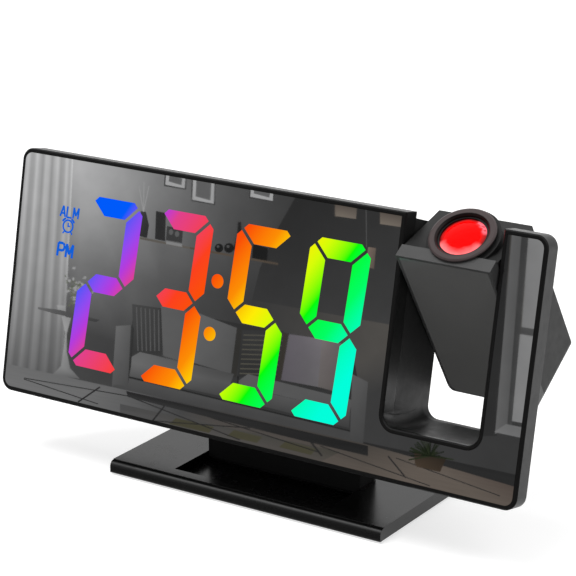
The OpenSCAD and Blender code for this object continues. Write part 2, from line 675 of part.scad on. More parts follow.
module rear_housing() color("#1a1a1c") at_clock() difference() {
    union() {
        difference() {
            housing_block();
            intersection() {
                slab(frame_d - 1, inner_y) difference() {
                    panel_outline(inner_edge);
                    slot_outline(wall, slot_floor_wall);
                }
                housing_form(wall);
            }
        }
        // locating lip that enters the front frame
        slab(frame_d - lip_reach, frame_d + 1.5) difference() {
            panel_outline(inner_edge - 0.3);
            panel_outline(inner_edge + lip_t);
            slot_outline(wall + lip_t, slot_floor_wall + lip_t);
        }
        intersection() {
            union() {
                for (p = long_posts) rod_y(p[0], p[1], tube_r, board_y, inner_y + 0.5);
                rod_y(column_post[0], column_post[1], tube_r, column_shoulder, inner_y + 0.5);
            }
            housing_form(0.2);
        }
        for (s = [-1, 1]) rod_y(s * bracket_screw_x, bracket_screw_z, 3, inner_y - 6, inner_y + 0.5);
        for (x = key_posts) rod_y(x, key_z - 8, 2, key_board_y + board_t, inner_y + 0.5);
    }
    swing_room();
    for (p = long_posts) screw_room(p, board_y, head_seat_y);
    screw_room(column_post, column_shoulder, column_seat);
    // room for the right bush's flange and the end of the axle
    translate([slot_x, axle_y, axle_z])
        rod_x(bush_r + 0.8 + fit, slot_w / 2 + wall, slot_w / 2 + wall + bush_flange + 0.6);
    for (s = [-1, 1]) rod_y(s * bracket_screw_x, bracket_screw_z, screw_r + 0.05, inner_y - 7, back_y + 1);
    for (x = key_posts) rod_y(x, key_z - 8, 0.85, key_board_y, inner_y - 0.5);
    // key holes
    for (x = key_x) slab(inner_y - 1, back_y + 1) translate([x, key_z]) stadium(key_w + 2 * snap, key_h + 2 * snap);
    // snooze bar opening in the top wall
    translate([snooze_x - snooze_w / 2 - snap, snooze_y0 - snap, snooze_in - 1])
        cube([snooze_w + 2 * snap, snooze_d + 2 * snap, clock_h - snooze_in + 1]);
    // battery opening with the recess of its door
    rod_y(battery_x, battery_z, cell_dia / 2 + 0.5, inner_y - 1, back_y + 1);
    slab(back_y - door_t, back_y + 1) translate([battery_x, battery_z])
        round_rect(-door_w / 2 - snap / 2, -door_h / 2 - snap / 2, door_w / 2 + snap / 2, door_h / 2 + snap / 2, 2);
    rod_y(battery_x + door_w / 2 - 3, battery_z + door_h / 2 - 3, 0.85, inner_y - 1, back_y);
    // sound slots
    for (k = [-3:3]) translate([buzzer_x + k * 2.4 - 0.6, inner_y - 1, buzzer_z - 5 + abs(k)])
        cube([1.2, wall + 2, 10 - 2 * abs(k)]);
    // power inlet
    slab(inner_y - 1, back_y + 1) translate([inlet_x, inlet_z]) stadium(inlet_w + 0.5, inlet_h + 0.5);
    // seats of the axle bushes
    translate([slot_x, axle_y, axle_z]) rod_x(bush_r + 0.02, -slot_w / 2 - wall - 1, slot_w / 2 + wall + 1);
}

// Hole for a screw whose head sits on depth seat, over a spigot that stands on depth shoulder.
module screw_room(p, shoulder, seat) {
    rod_y(p[0], p[1], spigot_r + 0.15, shoulder - 1, seat - seat_web);
    rod_y(p[0], p[1], screw_r + 0.15, shoulder, back_y);
    rod_y(p[0], p[1], screw_head_r + 0.3, seat, back_y + 1);
}

module housing_screws() color("#9a9da3") at_clock() {
    for (p = long_posts) pan_screw(p[0], p[1], head_seat_y, screw_len);
    pan_screw(column_post[0], column_post[1], column_seat, column_screw);
}

module key_board() color("#14532d") at_clock() slab(key_board_y, key_board_y + board_t) difference() {
    translate([key_x[0] - key_w / 2, key_z - 10.5]) square([(key_count - 1) * key_pitch + key_w, 14]);
    for (x = key_posts) translate([x, key_z - 8]) circle(0.9);
}

module key_board_screws() color("#9a9da3") at_clock() for (x = key_posts) difference() {
    union() {
        rod_y(x, key_z - 8, 0.8, key_board_y - 0.2, inner_y - 1);
        rod_y(x, key_z - 8, 1.6, key_board_y - 1.1, key_board_y);
    }
    for (a = [0, 90]) translate([x, key_board_y - 1, key_z - 8]) rotate([0, a, 0]) cube([2.2, 0.7, 0.4], center = true);
}

module key_switches() color("#2b2b2e") at_clock() for (x = key_x) {
    translate([x - 3, key_board_y + board_t, key_z - 3]) cube([6, 1.5, 6]);
    rod_y(x, key_z, 1.5, key_board_y + board_t, key_stem_y - key_travel - fit);
}

// One key of the back row: cap, retaining flange and stem.
module key(k) color("#29292c") at_clock() translate([key_x[k], 0, key_z]) {
    slab(inner_y - key_flange - fit, back_y + key_proud) stadium(key_w, key_h);
    slab(inner_y - key_flange - fit, inner_y - fit) stadium(key_w + 1.8, key_h + 1.8);
    rod_y(0, 0, 1.4, key_stem_y, inner_y - key_flange);
}

module alarm_key() key(0);
module time_key() key(1);
module up_key() key(2);
module down_key() key(3);
module projector_key() key(4);

module snooze_bar() color("#29292c") at_clock() {
    x0 = snooze_x - snooze_w / 2;
    side_bar(x0, x0 + snooze_w) polygon([
        [snooze_y0, snooze_in - 1],
        [snooze_y1, snooze_in - 1],
        [snooze_y1, housing_top(snooze_y1) + snooze_proud],
        [snooze_y0, housing_top(snooze_y0) + snooze_proud]]);
    translate([x0 - 1, snooze_y0 - 1, snooze_in - 1.1]) cube([snooze_w + 2, snooze_d + 2, 1]);
    translate([snooze_x - 3, snooze_y0, snooze_in - 3]) cube([6, 3.5, 2.5]);
}

module snooze_switch() color("#2b2b2e") at_clock() translate([snooze_x, board_y, snooze_in - 3 - key_travel - 0.3]) {
    translate([-3, 0, -4.6]) cube([6, 4.4, 4]);
    translate([0, snooze_y0 + 1.5 - board_y, -1]) cylinder(r = 1.2, h = 1);
}

module power_inlet() color("#b9bcc1") at_clock()
    slab(inner_y - inlet_len + wall, back_y - 0.2) translate([inlet_x, inlet_z]) difference() {
        stadium(inlet_w, inlet_h);
        stadium(inlet_w - 0.7, inlet_h - 0.7);
    }

module inlet_tongue() color("#202023") at_clock() {
    slab(inner_y - inlet_len + wall, inner_y - inlet_len + wall + 1.2) translate([inlet_x, inlet_z])
        stadium(inlet_w - 0.7, inlet_h - 0.7);
    translate([inlet_x - 3.2, inner_y - inlet_len + wall, inlet_z - 0.35]) cube([6.4, inlet_len - 1.6, 0.7]);
    // block under the socket, short of the housing's rounded back corner
    translate([inlet_x - 5, inner_y - inlet_len + wall, inner_edge])
        cube([10, inlet_len - wall - hollow_r - 0.1, inlet_z - inlet_h / 2 - inner_edge]);
}

module battery_cup() color("#212124") at_clock() difference() {
    rod_y(battery_x, battery_z, cell_dia / 2 + 0.3 + cup_wall, cell_back_y - cell_t - 1.8, inner_y);
    rod_y(battery_x, battery_z, cell_dia / 2 + 0.3, cell_back_y - cell_t - 0.8, inner_y + 1);
}

module battery_contact() color("#c9a227") at_clock()
    rod_y(battery_x, battery_z, 4, cell_back_y - cell_t - 0.8, cell_back_y - cell_t);

module coin_cell() color("#c3c6ca") at_clock() {
    rod_y(battery_x, battery_z, cell_dia / 2, cell_back_y - cell_t + 0.4, cell_back_y);
    rod_y(battery_x, battery_z, cell_dia / 2 - 1.3, cell_back_y - cell_t, cell_back_y);
}

module battery_door() color("#1f1f22") at_clock() difference() {
    union() {
        slab(back_y - door_t, back_y) translate([battery_x, battery_z])
            round_rect(-door_w / 2, -door_h / 2, door_w / 2, door_h / 2, 2);
        rod_y(battery_x, battery_z, 5, cell_back_y, back_y - door_t);
    }
    rod_y(battery_x + door_w / 2 - 3, battery_z + door_h / 2 - 3, 1, back_y - door_t - 1, back_y + 1);
    for (k = [0:3]) translate([battery_x - 5, back_y - 0.4, battery_z - 7 + k * 1.6]) cube([10, 1, 0.7]);
}

module door_screw() color("#9a9da3") at_clock() translate([battery_x + door_w / 2 - 3, 0, battery_z + door_h / 2 - 3])
    difference() {
        union() {
            rod_y(0, 0, 0.8, inner_y + 0.2, back_y);
            rod_y(0, 0, 1.6, back_y, back_y + 0.8);
        }
        for (a = [0, 90]) translate([0, back_y + 0.7, 0]) rotate([0, a, 0]) cube([2.2, 0.7, 0.4], center = true);
    }

// Bushes pressed in from inside the housing; their noses keep the head in the slot's middle.
module axle_bushes() color("#d9d9d4") at_clock() translate([slot_x, axle_y, axle_z]) for (s = [0, 1])
    mirror([s, 0, 0]) difference() {
        union() {
            rod_x(bush_r, slot_w / 2 - head_gap + fit, slot_w / 2 + wall);
            rod_x(bush_r + 0.8, slot_w / 2 + wall, slot_w / 2 + wall + bush_flange);
        }
        rod_x(axle_r + run_fit, 0, slot_w);
    }

// ---------------------------------------------------------------- projector head

// Face view of the head: round lower corners, square top.
module head_outline(inset = 0, top = 0, under = 0) {
    r = max(head_r - inset, 0.5);
    x1 = head_w / 2 - inset;
    low = head_foot + (under > 0 ? under : inset);
    translate([-x1, low + r]) square([2 * x1, head_top - top - low - r]);
    translate([-x1 + r, low]) square([2 * (x1 - r), r + 1]);
    for (x = [-x1 + r, x1 - r]) translate([x, low + r]) circle(r);
}

// Side view of the rear shell, with a sloping top and a round lower back edge.
module head_side(inset = 0) {
    shift = inset / cos(top_slope);
    y0 = plate_back - (inset > 0 ? 1 : 0);
    y1 = axle_y - inset;
    low = head_foot + inset;
    difference() {
        union() {
            translate([y0, low]) square([y1 - foot_r - y0, head_top - low]);
            translate([y0, low + foot_r]) square([y1 - y0, head_top - low - foot_r]);
            translate([y1 - foot_r, low + foot_r]) circle(foot_r);
        }
        polygon([[plate_back - 1, slope_top + tan(top_slope) - shift], [plate_back - 1, head_top + 5],
            [axle_y + 5, head_top + 5], [axle_y + 5, slope_foot - 5 * tan(top_slope) - shift]]);
    }
}

module lens_bore(r) translate([lens_x, -lens_y, collar_foot - 1]) cylinder(r = r, h = ring_top - collar_foot + 5, $fn = 96);

module head_front_shell() color("#18181a") at_head() difference() {
    slab(-axle_y, plate_back) head_outline();
    // seat of the mirror
    slab(-axle_y - 1, -axle_y + cover_t) head_outline(cover_edge, cover_edge, foot_r);
    // round lower front edge
    translate([0, -axle_y, head_foot]) difference() {
        translate([-head_w, -1, -1]) cube([2 * head_w, 1 + foot_r, 1 + foot_r]);
        translate([0, foot_r, foot_r]) rod_x(foot_r, -head_w, head_w);
    }
    // hollow behind the floor, with a boss left standing round each screw
    slab(-axle_y + 2 * cover_t, plate_back + 1) difference() {
        intersection() {
            head_outline(head_wall);
            translate([-head_w, head_foot]) square([2 * head_w, -head_foot + collar_foot - 2]);
        }
        for (p = head_posts) translate(p) circle(2.4);
    }
    for (p = head_posts) rod_y(p[0], p[1], 1.02, -axle_y + 1.6 * cover_t, plate_back + 1);
    lens_bore(skirt_r + run_fit);
}

module head_mirror() color([0.12, 0.12, 0.13]) at_head()
    slab(-axle_y, -axle_y + cover_t) head_outline(cover_edge + fit, cover_edge + fit, foot_r + fit);

module head_rear_shell() color("#1c1c1e") at_head() difference() {
    union() {
        difference() {
            intersection() {
                slab(plate_back, axle_y) head_outline();
                side_bar(-head_w / 2, head_w / 2) head_side();
            }
            intersection() {
                slab(plate_back - 1, axle_y) head_outline(head_wall);
                side_bar(-head_w / 2, head_w / 2) head_side(head_wall);
            }
        }
        // collar of the lens
        difference() {
            translate([lens_x, -lens_y, collar_foot]) cylinder(r = collar_r, h = collar_top - collar_foot, $fn = 96);
            translate([-head_w, -head_d, collar_foot - 1]) cube([2 * head_w, head_d + plate_back, head_w]);
        }
        // axle stubs
        for (s = [0, 1]) mirror([s, 0, 0]) rod_x(axle_r, head_w / 2 - head_wall, slot_w / 2 + wall + bush_flange + 0.3);
        // screw bosses
        for (p = head_posts) rod_y(p[0], p[1], 2.4, plate_back, axle_y - head_wall + 0.5);
    }
    lens_bore(skirt_r + run_fit);
    // keyways of the lens carrier
    translate([lens_x, -lens_y, collar_foot - 1]) for (s = [0, 1]) mirror([s, 0, 0])
        translate([skirt_r - 1, -lug_w / 2 - 0.1, 0]) cube([2, lug_w + 0.2, skirt_foot - collar_foot + 1]);
    // passage of the lamp's wires through the left axle stub
    rod_x(1.5, -slot_w, -head_w / 2 + 3);
    for (p = head_posts) {
        rod_y(p[0], p[1], 1.1, plate_back - 1, axle_y);
        rod_y(p[0], p[1], 1.9, plate_back + 10.4, axle_y + 1);
    }
}

module head_screws() color("#9a9da3") at_head() for (p = head_posts) difference() {
    union() {
        rod_y(p[0], p[1], 1, -axle_y + 1.7 * cover_t, plate_back + 10.6);
        rod_y(p[0], p[1], 1.8, plate_back + 10.4, plate_back + 11.8);
    }
    for (a = [0, 90]) translate([p[0], plate_back + 11.6, p[1]]) rotate([0, a, 0]) cube([2.4, 0.8, 0.5], center = true);
}

// Square tube that carries the slide, the condenser and the lamp behind the lens.
module light_engine() color("#141416") at_lens() difference() {
    back = axle_y - head_wall + lens_y;
    translate([-engine_w / 2, -6.2, engine_top - engine_len]) cube([engine_w, back + 6.2, engine_len]);
    translate([0, 0, engine_top - engine_len - 1]) cylinder(r = 6, h = engine_len + 2);
    translate([0, 0, engine_top - condenser_drop - 4]) cylinder(r = condenser_r + 0.1, h = 4);
    // slot of the slide, open at the left
    translate([-engine_w / 2 - 1, -5, engine_top - slide_drop - 1.3]) cube([engine_w, 12, 1.3]);
    translate([-condenser_r - 0.1, -20, engine_top - condenser_drop - 4]) cube([2 * condenser_r + 0.2, 20, 4]);
}

module number_slide() color([0.75, 0.8, 0.85, 0.6]) at_lens()
    translate([-engine_w / 2 + 0.2, -4.9, engine_top - slide_drop - 1.3]) cube([engine_w - 1.4, 11.8, 1.1]);

module condenser_lens() color([0.85, 0.9, 0.95, 0.5]) at_lens() translate([0, 0, engine_top - condenser_drop - 4])
    rotate_extrude($fn = 64) intersection() {
        translate([0, 0]) square([condenser_r, 4]);
        translate([0, -10]) circle(13.9, $fn = 128);
    }

module lamp_board() color("#1f5a3a") at_lens() translate([-engine_w / 2, -6.2, engine_top - engine_len - board_t])
    cube([engine_w, engine_w - 3, board_t]);

module projector_lamp() color("#e04038") at_lens() translate([0, 0, engine_top - engine_len]) {
    translate([-2.5, -2.5, 0]) cube([5, 5, 1.2]);
    translate([0, 0, 1.2]) cylinder(r = 2.2, h = 1);
}

// Focus ring: a thin grip over a skirt that turns in the collar.
module focus_ring() color("#2a2a2d") at_lens() difference() {
    union() {
        translate([0, 0, skirt_foot]) cylinder(r = skirt_r, h = ring_top - grip_t - skirt_foot + 0.1, $fn = 96);
        translate([0, 0, ring_top]) rotate_extrude($fn = 96)
            polygon([[0, -grip_t], [ring_r - 0.15, -grip_t], [ring_r, -grip_t + 0.15], [ring_r, -0.3],
                [ring_r - 0.5, 0], [0, 0]]);
    }
    translate([0, 0, skirt_foot - 1]) cylinder(r = skirt_r - ring_wall, h = 30, $fn = 96);
    translate([0, 0, ring_top]) rotate_extrude($fn = 96)
        polygon([[0, 0.1], [skirt_r - 0.3, 0.1], [skirt_r - ring_wall - 0.1, -0.8], [0, -0.8]]);
}

module lens_carrier() color("#202023") at_lens() difference() {
    union() {
        translate([0, 0, carrier_foot]) cylinder(r = carrier_r, h = carrier_top - carrier_foot, $fn = 96);
        for (s = [0, 1]) mirror([s, 0, 0]) translate([carrier_r - 1, -lug_w / 2, carrier_foot])
            cube([skirt_r + 0.7 - carrier_r + 1, lug_w, skirt_foot - carrier_foot - focus_travel - 0.3]);
    }
    translate([0, 0, carrier_foot - 1]) cylinder(r = lens_r - 0.8, h = 40, $fn = 96);
    translate([0, 0, lens_edge - 1.6]) cylinder(r = lens_r + 0.02, h = 10, $fn = 96);
}

module front_lens() color([0.85, 0.12, 0.1, 0.8]) at_lens() translate([0, 0, lens_edge]) {
    dome_r = (lens_r * lens_r + lens_bulge * lens_bulge) / (2 * lens_bulge);
    translate([0, 0, -1.6]) cylinder(r = lens_r, h = 1.6, $fn = 96);
    rotate_extrude($fn = 96) intersection() {
        square([lens_r, lens_bulge]);
        translate([0, lens_bulge - dome_r]) circle(dome_r, $fn = 180);
    }
}

base_cover();
base_plate();
base_weights();
base_screws();
non_slip_pad();
hinge_pin();
neck_bracket();
bracket_screws();
front_frame();
mirror_panel();
light_mask();
light_bars();
main_board();
display_leds();
board_chips();
snooze_switch();
rear_housing();
housing_screws();
key_board();
key_board_screws();
key_switches();
alarm_key();
time_key();
up_key();
down_key();
projector_key();
snooze_bar();
power_inlet();
inlet_tongue();
battery_cup();
coin_cell();
battery_contact();
battery_door();
door_screw();
buzzer();
axle_bushes();
head_front_shell();
head_mirror();
head_rear_shell();
head_screws();
light_engine();
number_slide();
condenser_lens();
lamp_board();
projector_lamp();
focus_ring();
lens_carrier();
front_lens();
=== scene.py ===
"""Dresses the mirror-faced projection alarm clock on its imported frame."""

import json
import logging
import math
import random
from dataclasses import dataclass, field
from enum import Enum
from functools import partial
from typing import Callable, Sequence

import bmesh
import bpy
from mathutils import Matrix, Vector


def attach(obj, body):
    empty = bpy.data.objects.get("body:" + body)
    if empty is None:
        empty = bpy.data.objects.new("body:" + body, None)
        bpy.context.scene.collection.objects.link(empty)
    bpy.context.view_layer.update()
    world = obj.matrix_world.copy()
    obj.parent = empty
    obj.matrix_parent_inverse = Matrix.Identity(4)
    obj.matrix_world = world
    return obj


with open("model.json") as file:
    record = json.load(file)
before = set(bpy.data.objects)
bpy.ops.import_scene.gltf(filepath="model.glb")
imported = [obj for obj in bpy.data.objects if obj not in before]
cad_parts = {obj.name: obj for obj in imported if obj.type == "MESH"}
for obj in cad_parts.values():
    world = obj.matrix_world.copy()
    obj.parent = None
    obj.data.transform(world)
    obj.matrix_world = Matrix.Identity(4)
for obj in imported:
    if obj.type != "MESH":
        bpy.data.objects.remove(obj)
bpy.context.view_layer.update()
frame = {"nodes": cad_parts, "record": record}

LOG = logging.getLogger("projection_clock")
# A millimetre and a gap too small to see, in metres; the camera's lens and sensor, in millimetres
MM = 0.001
HAIR = 0.0002
LENS = 143.0
SENSOR = 36.0
Point = tuple[float, float]
Place = tuple[float, float, float]
Colour = tuple[float, float, float]
Tone = float | Colour
Socket = bpy.types.NodeSocket
Material = bpy.types.Material
BMesh = bmesh.types.BMesh
Filler = Callable[[BMesh], None]


class Letter(Enum):
    """Strokes of the display's letters on a grid one wide and one high."""

    A = (((0, 0), (0.5, 1)), ((0.5, 1), (1, 0)), ((0.2, 0.32), (0.8, 0.32)))
    L = (((0, 1), (0, 0)), ((0, 0), (1, 0)))
    M = (((0, 0), (0, 1)), ((0, 1), (0.5, 0.25)), ((0.5, 0.25), (1, 1)), ((1, 1), (1, 0)))
    P = (((0, 0), (0, 1)), ((0, 1), (0.75, 1)), ((0.75, 1), (1, 0.85)), ((1, 0.85), (1, 0.6)),
         ((1, 0.6), (0.75, 0.45)), ((0.75, 0.45), (0, 0.45)))


class Digit(Enum):
    """Lit segments of the digits shown."""

    TWO = "abged"
    THREE = "abgcd"
    FIVE = "afgcd"
    NINE = "abfgcd"


def linear(red: float, green: float, blue: float) -> Colour:
    """Turns a colour given as 0 to 255 into linear light.

    Args:
        red: Red as shown on a screen.
        green: Green as shown on a screen.
        blue: Blue as shown on a screen.

    Returns:
        The three channels in linear light.
    """
    def channel(value: float) -> float:
        """One channel in linear light."""
        part = value / 255
        return part / 12.92 if part <= 0.04045 else ((part + 0.055) / 1.055) ** 2.4
    return channel(red), channel(green), channel(blue)


def grey(level: float) -> Colour:
    """A neutral grey given as 0 to 255, in linear light."""
    return linear(level, level, level)


def toned(colour: Colour, part: float) -> Colour:
    """A part of a colour's light."""
    return tuple(part * channel for channel in colour)


# ---------------------------------------------------------------- frames of the clock


@dataclass(frozen=True)
class ClockFrames:
    """Where the clock's and the projector's own frames lie in the row frame."""

    lean: float = math.radians(11.8)
    front_y: float = -0.026
    lift: float = 0.0203
    axle: Place = (0.0645, 0.0127, 0.068)
    head_open: float = math.radians(45)
    lens_offset: Place = (0.0016, -0.0016, 0.0)

    def clock(self) -> Matrix:
        """Frame of the clock: x across, y into it from the panel, z up the panel."""
        return Matrix.Translation((0, self.front_y, self.lift)) @ Matrix.Rotation(-self.lean, 4, "X")

    def head(self) -> Matrix:
        """Frame of the projector head, about its axle."""
        return self.clock() @ Matrix.Translation(self.axle) @ Matrix.Rotation(self.head_open, 4, "X")

    def lens(self) -> Matrix:
        """Frame of the lens, its axis along z."""
        return self.head() @ Matrix.Translation(self.lens_offset)


FRAMES = ClockFrames()


# ---------------------------------------------------------------- shader graphs


class Graph:
    """The nodes of a material or a world, added and linked by name."""

    def __init__(self, owner: Material | bpy.types.World, output: str = "OutputMaterial") -> None:
        """Empties the owner's nodes and adds its output."""
        owner.use_nodes = True
        self.tree = owner.node_tree
        self.tree.nodes.clear()
        self.output = self.add(output)

    def add(self, kind: str, **settings: object) -> bpy.types.Node:
        """Adds a node.

        Args:
            kind: Node type without its ShaderNode prefix.
            settings: Properties of the node, or values of its inputs by name.

        Returns:
            The new node.
        """
        node = self.tree.nodes.new("ShaderNode" + kind)
        for key, value in settings.items():
            if key in node.bl_rna.properties:
                setattr(node, key, value)
            else:
                node.inputs[key.replace("_", " ")].default_value = value
        return node

    def link(self, source: Socket, target: Socket) -> None:
        """Links an output to an input."""
        self.tree.links.new(source, target)

    def math(self, operation: str, first: object, second: object = 0.5,
             third: object = 0.5) -> Socket:
        """A Math node on two or three sockets or numbers.

        Args:
            operation: Name of the operation.
            first: Socket or number.
            second: Socket or number.
            third: Socket or number.

        Returns:
            The result's socket.
        """
        node = self.add("Math", operation=operation)
        for index, value in enumerate((first, second, third)):
            if isinstance(value, Socket):
                self.link(value, node.inputs[index])
            else:
                node.inputs[index].default_value = value
        return node.outputs[0]

    def place(self, frame_matrix: Matrix | None = None) -> Socket:
        """The place on the piece at rest, in millimetres.

        Args:
            frame_matrix: Frame to measure in, or none for the row frame.

        Returns:
            A vector socket.
        """
        coordinates = self.add("TexCoord")
        mapping = self.add("Mapping", vector_type="POINT")
        inverse = (frame_matrix or Matrix.Identity(4)).inverted()
        mapping.inputs["Location"].default_value = inverse.to_translation() / MM
        mapping.inputs["Rotation"].default_value = inverse.to_euler()
        mapping.inputs["Scale"].default_value = (1 / MM,) * 3
        self.link(coordinates.outputs["Object"], mapping.inputs["Vector"])
        return mapping.outputs["Vector"]

    def axes(self, vector: Socket) -> tuple[Socket, Socket, Socket]:
        """The three parts of a vector."""
        parts = self.add("SeparateXYZ")
        self.link(vector, parts.inputs["Vector"])
        return parts.outputs["X"], parts.outputs["Y"], parts.outputs["Z"]

    def length(self, across: Socket, up: Socket) -> Socket:
        """Distance from the axis of a point that lies across and up from it."""
        squares = [self.math("MULTIPLY", part, part) for part in (across, up)]
        return self.math("SQRT", self.math("ADD", *squares))

    def seen(self) -> Socket:
        """1 for the rays that show a thing: from the camera, off gloss or through glass."""
        rays = self.add("LightPath")
        gloss = self.math("MAXIMUM", rays.outputs["Is Glossy Ray"], rays.outputs["Is Transmission Ray"])
        return self.math("MAXIMUM", rays.outputs["Is Camera Ray"], gloss)

    def noise(self, place: Socket, size: float, detail: float = 2, rough: float = 0.5) -> Socket:
        """Noise with features about size millimetres across.

        Args:
            place: Vector in millimetres.
            size: Feature size.
            detail: Octaves.
            rough: Strength of the finer octaves.

        Returns:
            The factor's socket.
        """
        node = self.add("TexNoise", Scale=1 / size, Detail=detail, Roughness=rough)
        self.link(place, node.inputs["Vector"])
        return node.outputs["Fac"]

    def span(self, value: Socket, low: float, high: float, out_low: float = 0.0, out_high: float = 1.0,
             smooth: bool = False) -> Socket:
        """Maps a value from one range to another, clamped.

        Args:
            value: Socket to map.
            low: Start of the source range.
            high: End of the source range.
            out_low: Start of the target range.
            out_high: End of the target range.
            smooth: Whether the ramp eases in and out.

        Returns:
            The mapped socket.
        """
        node = self.add("MapRange", interpolation_type="SMOOTHSTEP" if smooth else "LINEAR")
        self.link(value, node.inputs["Value"])
        limits = {"From Min": low, "From Max": high, "To Min": out_low, "To Max": out_high}
        for name, number in limits.items():
            node.inputs[name].default_value = number
        return node.outputs["Result"]

    def ramp(self, value: Socket, stops: Sequence[tuple[float, Colour]]) -> Socket:
        """A colour ramp.

        Args:
            value: Factor from 0 to 1.
            stops: Places and linear colours, in order.

        Returns:
            The colour's socket.
        """
        node = self.add("ValToRGB")
        elements = node.color_ramp.elements
        while len(elements) < len(stops):
            elements.new(1.0)
        for element, (place, colour) in zip(elements, stops):
            element.position = place
            element.color = (*colour, 1)
        self.link(value, node.inputs["Fac"])
        return node.outputs["Color"]

    def mix(self, factor: object, first: object, second: object) -> Socket:
        """Mixes two colours.

        Args:
            factor: Socket or number.
            first: Socket or linear colour at 0.
            second: Socket or linear colour at 1.

        Returns:
            The colour's socket.
        """
        node = self.add("Mix", data_type="RGBA")
        for index, value in ((0, factor), (6, first), (7, second)):
            if isinstance(value, Socket):
                self.link(value, node.inputs[index])
            elif index:
                node.inputs[index].default_value = (*value, 1)
            else:
                node.inputs[index].default_value = value
        return node.outputs[2]

    def vary(self, cloud: Socket, low: float, high: float) -> Socket:
        """A value that a cloud moves between low and high."""
        return self.span(cloud, 0.3, 0.7, low, high)

    def mottle(self, cloud: Socket, colour: Colour, low: float, high: float = 1.0) -> Socket:
        """A colour that a cloud moves between two parts of its light."""
        return self.mix(cloud, toned(colour, low), toned(colour, high))

    def bump(self, height: Socket, depth: float, edge: float = 0.0) -> Socket:
        """A bumped normal, on edges that are rounded by edge millimetres.

        Args:
            height: Height factor.
            depth: Depth in millimetres.
            edge: Radius of the rounded edges, or 0.

        Returns:
            The normal's socket.
        """
        node = self.add("Bump", Strength=1.0, Distance=depth * MM)
        self.link(height, node.inputs["Height"])
        if edge:
            bevel = self.add("Bevel", samples=4, Radius=edge * MM)
            self.link(bevel.outputs["Normal"], node.inputs["Normal"])
        return node.outputs["Normal"]

    def surface(self, **inputs: object) -> None:
        """Ends the graph in a Principled shader.

        Args:
            inputs: Sockets or numbers by input name, with underscores for spaces.
        """
        shader = self.add("BsdfPrincipled")
        for key, value in inputs.items():
            socket = shader.inputs[key.replace("_", " ")]
            if isinstance(value, Socket):
                self.link(value, socket)
            elif isinstance(value, tuple) and len(value) == 3:
                socket.default_value = (*value, 1)
            else:
                socket.default_value = value
        self.link(shader.outputs["BSDF"], self.output.inputs["Surface"])

    def shine(self, colour: Socket, strength: float) -> None:
        """Ends the graph in a black surface that shines."""
        self.surface(Base_Color=(0, 0, 0), Roughness=0.6, Specular_IOR_Level=0.0,
                     Emission_Color=colour, Emission_Strength=strength)


# ---------------------------------------------------------------- finishes


@dataclass(frozen=True)
class Finish:
    """A named finish. Each kind of finish fills the nodes in its own way.

    Levels are greys of 0 to 255. Sizes of grain, clouds, lines and wipe marks are in millimetres.
    """

    name: str

    def material(self) -> Material:
        """Makes the material."""
        made = bpy.data.materials.new(self.name)
        self.fill(Graph(made))
        return made

    def fill(self, graph: Graph) -> None:
        """Fills the material's nodes."""
        raise NotImplementedError


@dataclass(frozen=True)
class MouldedPlastic(Finish):
    """Spark-eroded plastic: fine grain, faint mottling and softly rounded edges."""

    level: float
    roughness: float = 0.42
    grain: float = 0.16
    depth: float = 0.012
    edge: float = 0.22
    specular: float = 0.5
    cloud: float = 14.0
    smear: float = 3.0

    def fill(self, graph: Graph) -> None:
        """Fills the material's nodes."""
        place = graph.place()
        fine = graph.noise(place, self.grain, 3)
        colour = graph.mottle(graph.noise(place, self.cloud, 3), grey(self.level), 0.86, 1.14)
        gloss = graph.noise(place, self.smear, 4)
        roughness = graph.vary(gloss, self.roughness - 0.04, self.roughness + 0.05)
        graph.surface(Base_Color=colour, Roughness=roughness, Specular_IOR_Level=self.specular,
                      Normal=graph.bump(fine, self.depth, self.edge))


@dataclass(frozen=True)
class RingPlastic(Finish):
    """Satin plastic of the focus ring, warm on its grip, with painted shade: near black down its inner hole.
    """

    level: float = 58
    warmth: float = 9
    painted_shade_radius: float = 8.35
    blend: float = 0.15
    dark: float = 14
    cloud: float = 5.0
    grain: float = 0.16

    def fill(self, graph: Graph) -> None:
        """Fills the material's nodes."""
        place = graph.place(FRAMES.lens())
        across, up, _ = graph.axes(place)
        radius = graph.length(across, up)
        # Painted shade: toward the axis the ring is painted near black, where shade falls down its inner
        # hole.
        grip = graph.span(radius, self.painted_shade_radius - self.blend, self.painted_shade_radius + self.blend, smooth=True)
        cloud = graph.noise(place, self.cloud, 3)
        base = linear(self.level + self.warmth, self.level, self.level)
        colour = graph.mix(grip, grey(self.dark), graph.mottle(cloud, base, 0.86, 1.14))
        graph.surface(Base_Color=colour, Roughness=graph.vary(cloud, 0.4, 0.48), Specular_IOR_Level=0.3,
                      Normal=graph.bump(graph.noise(place, self.grain, 3), 0.01, 0.15))


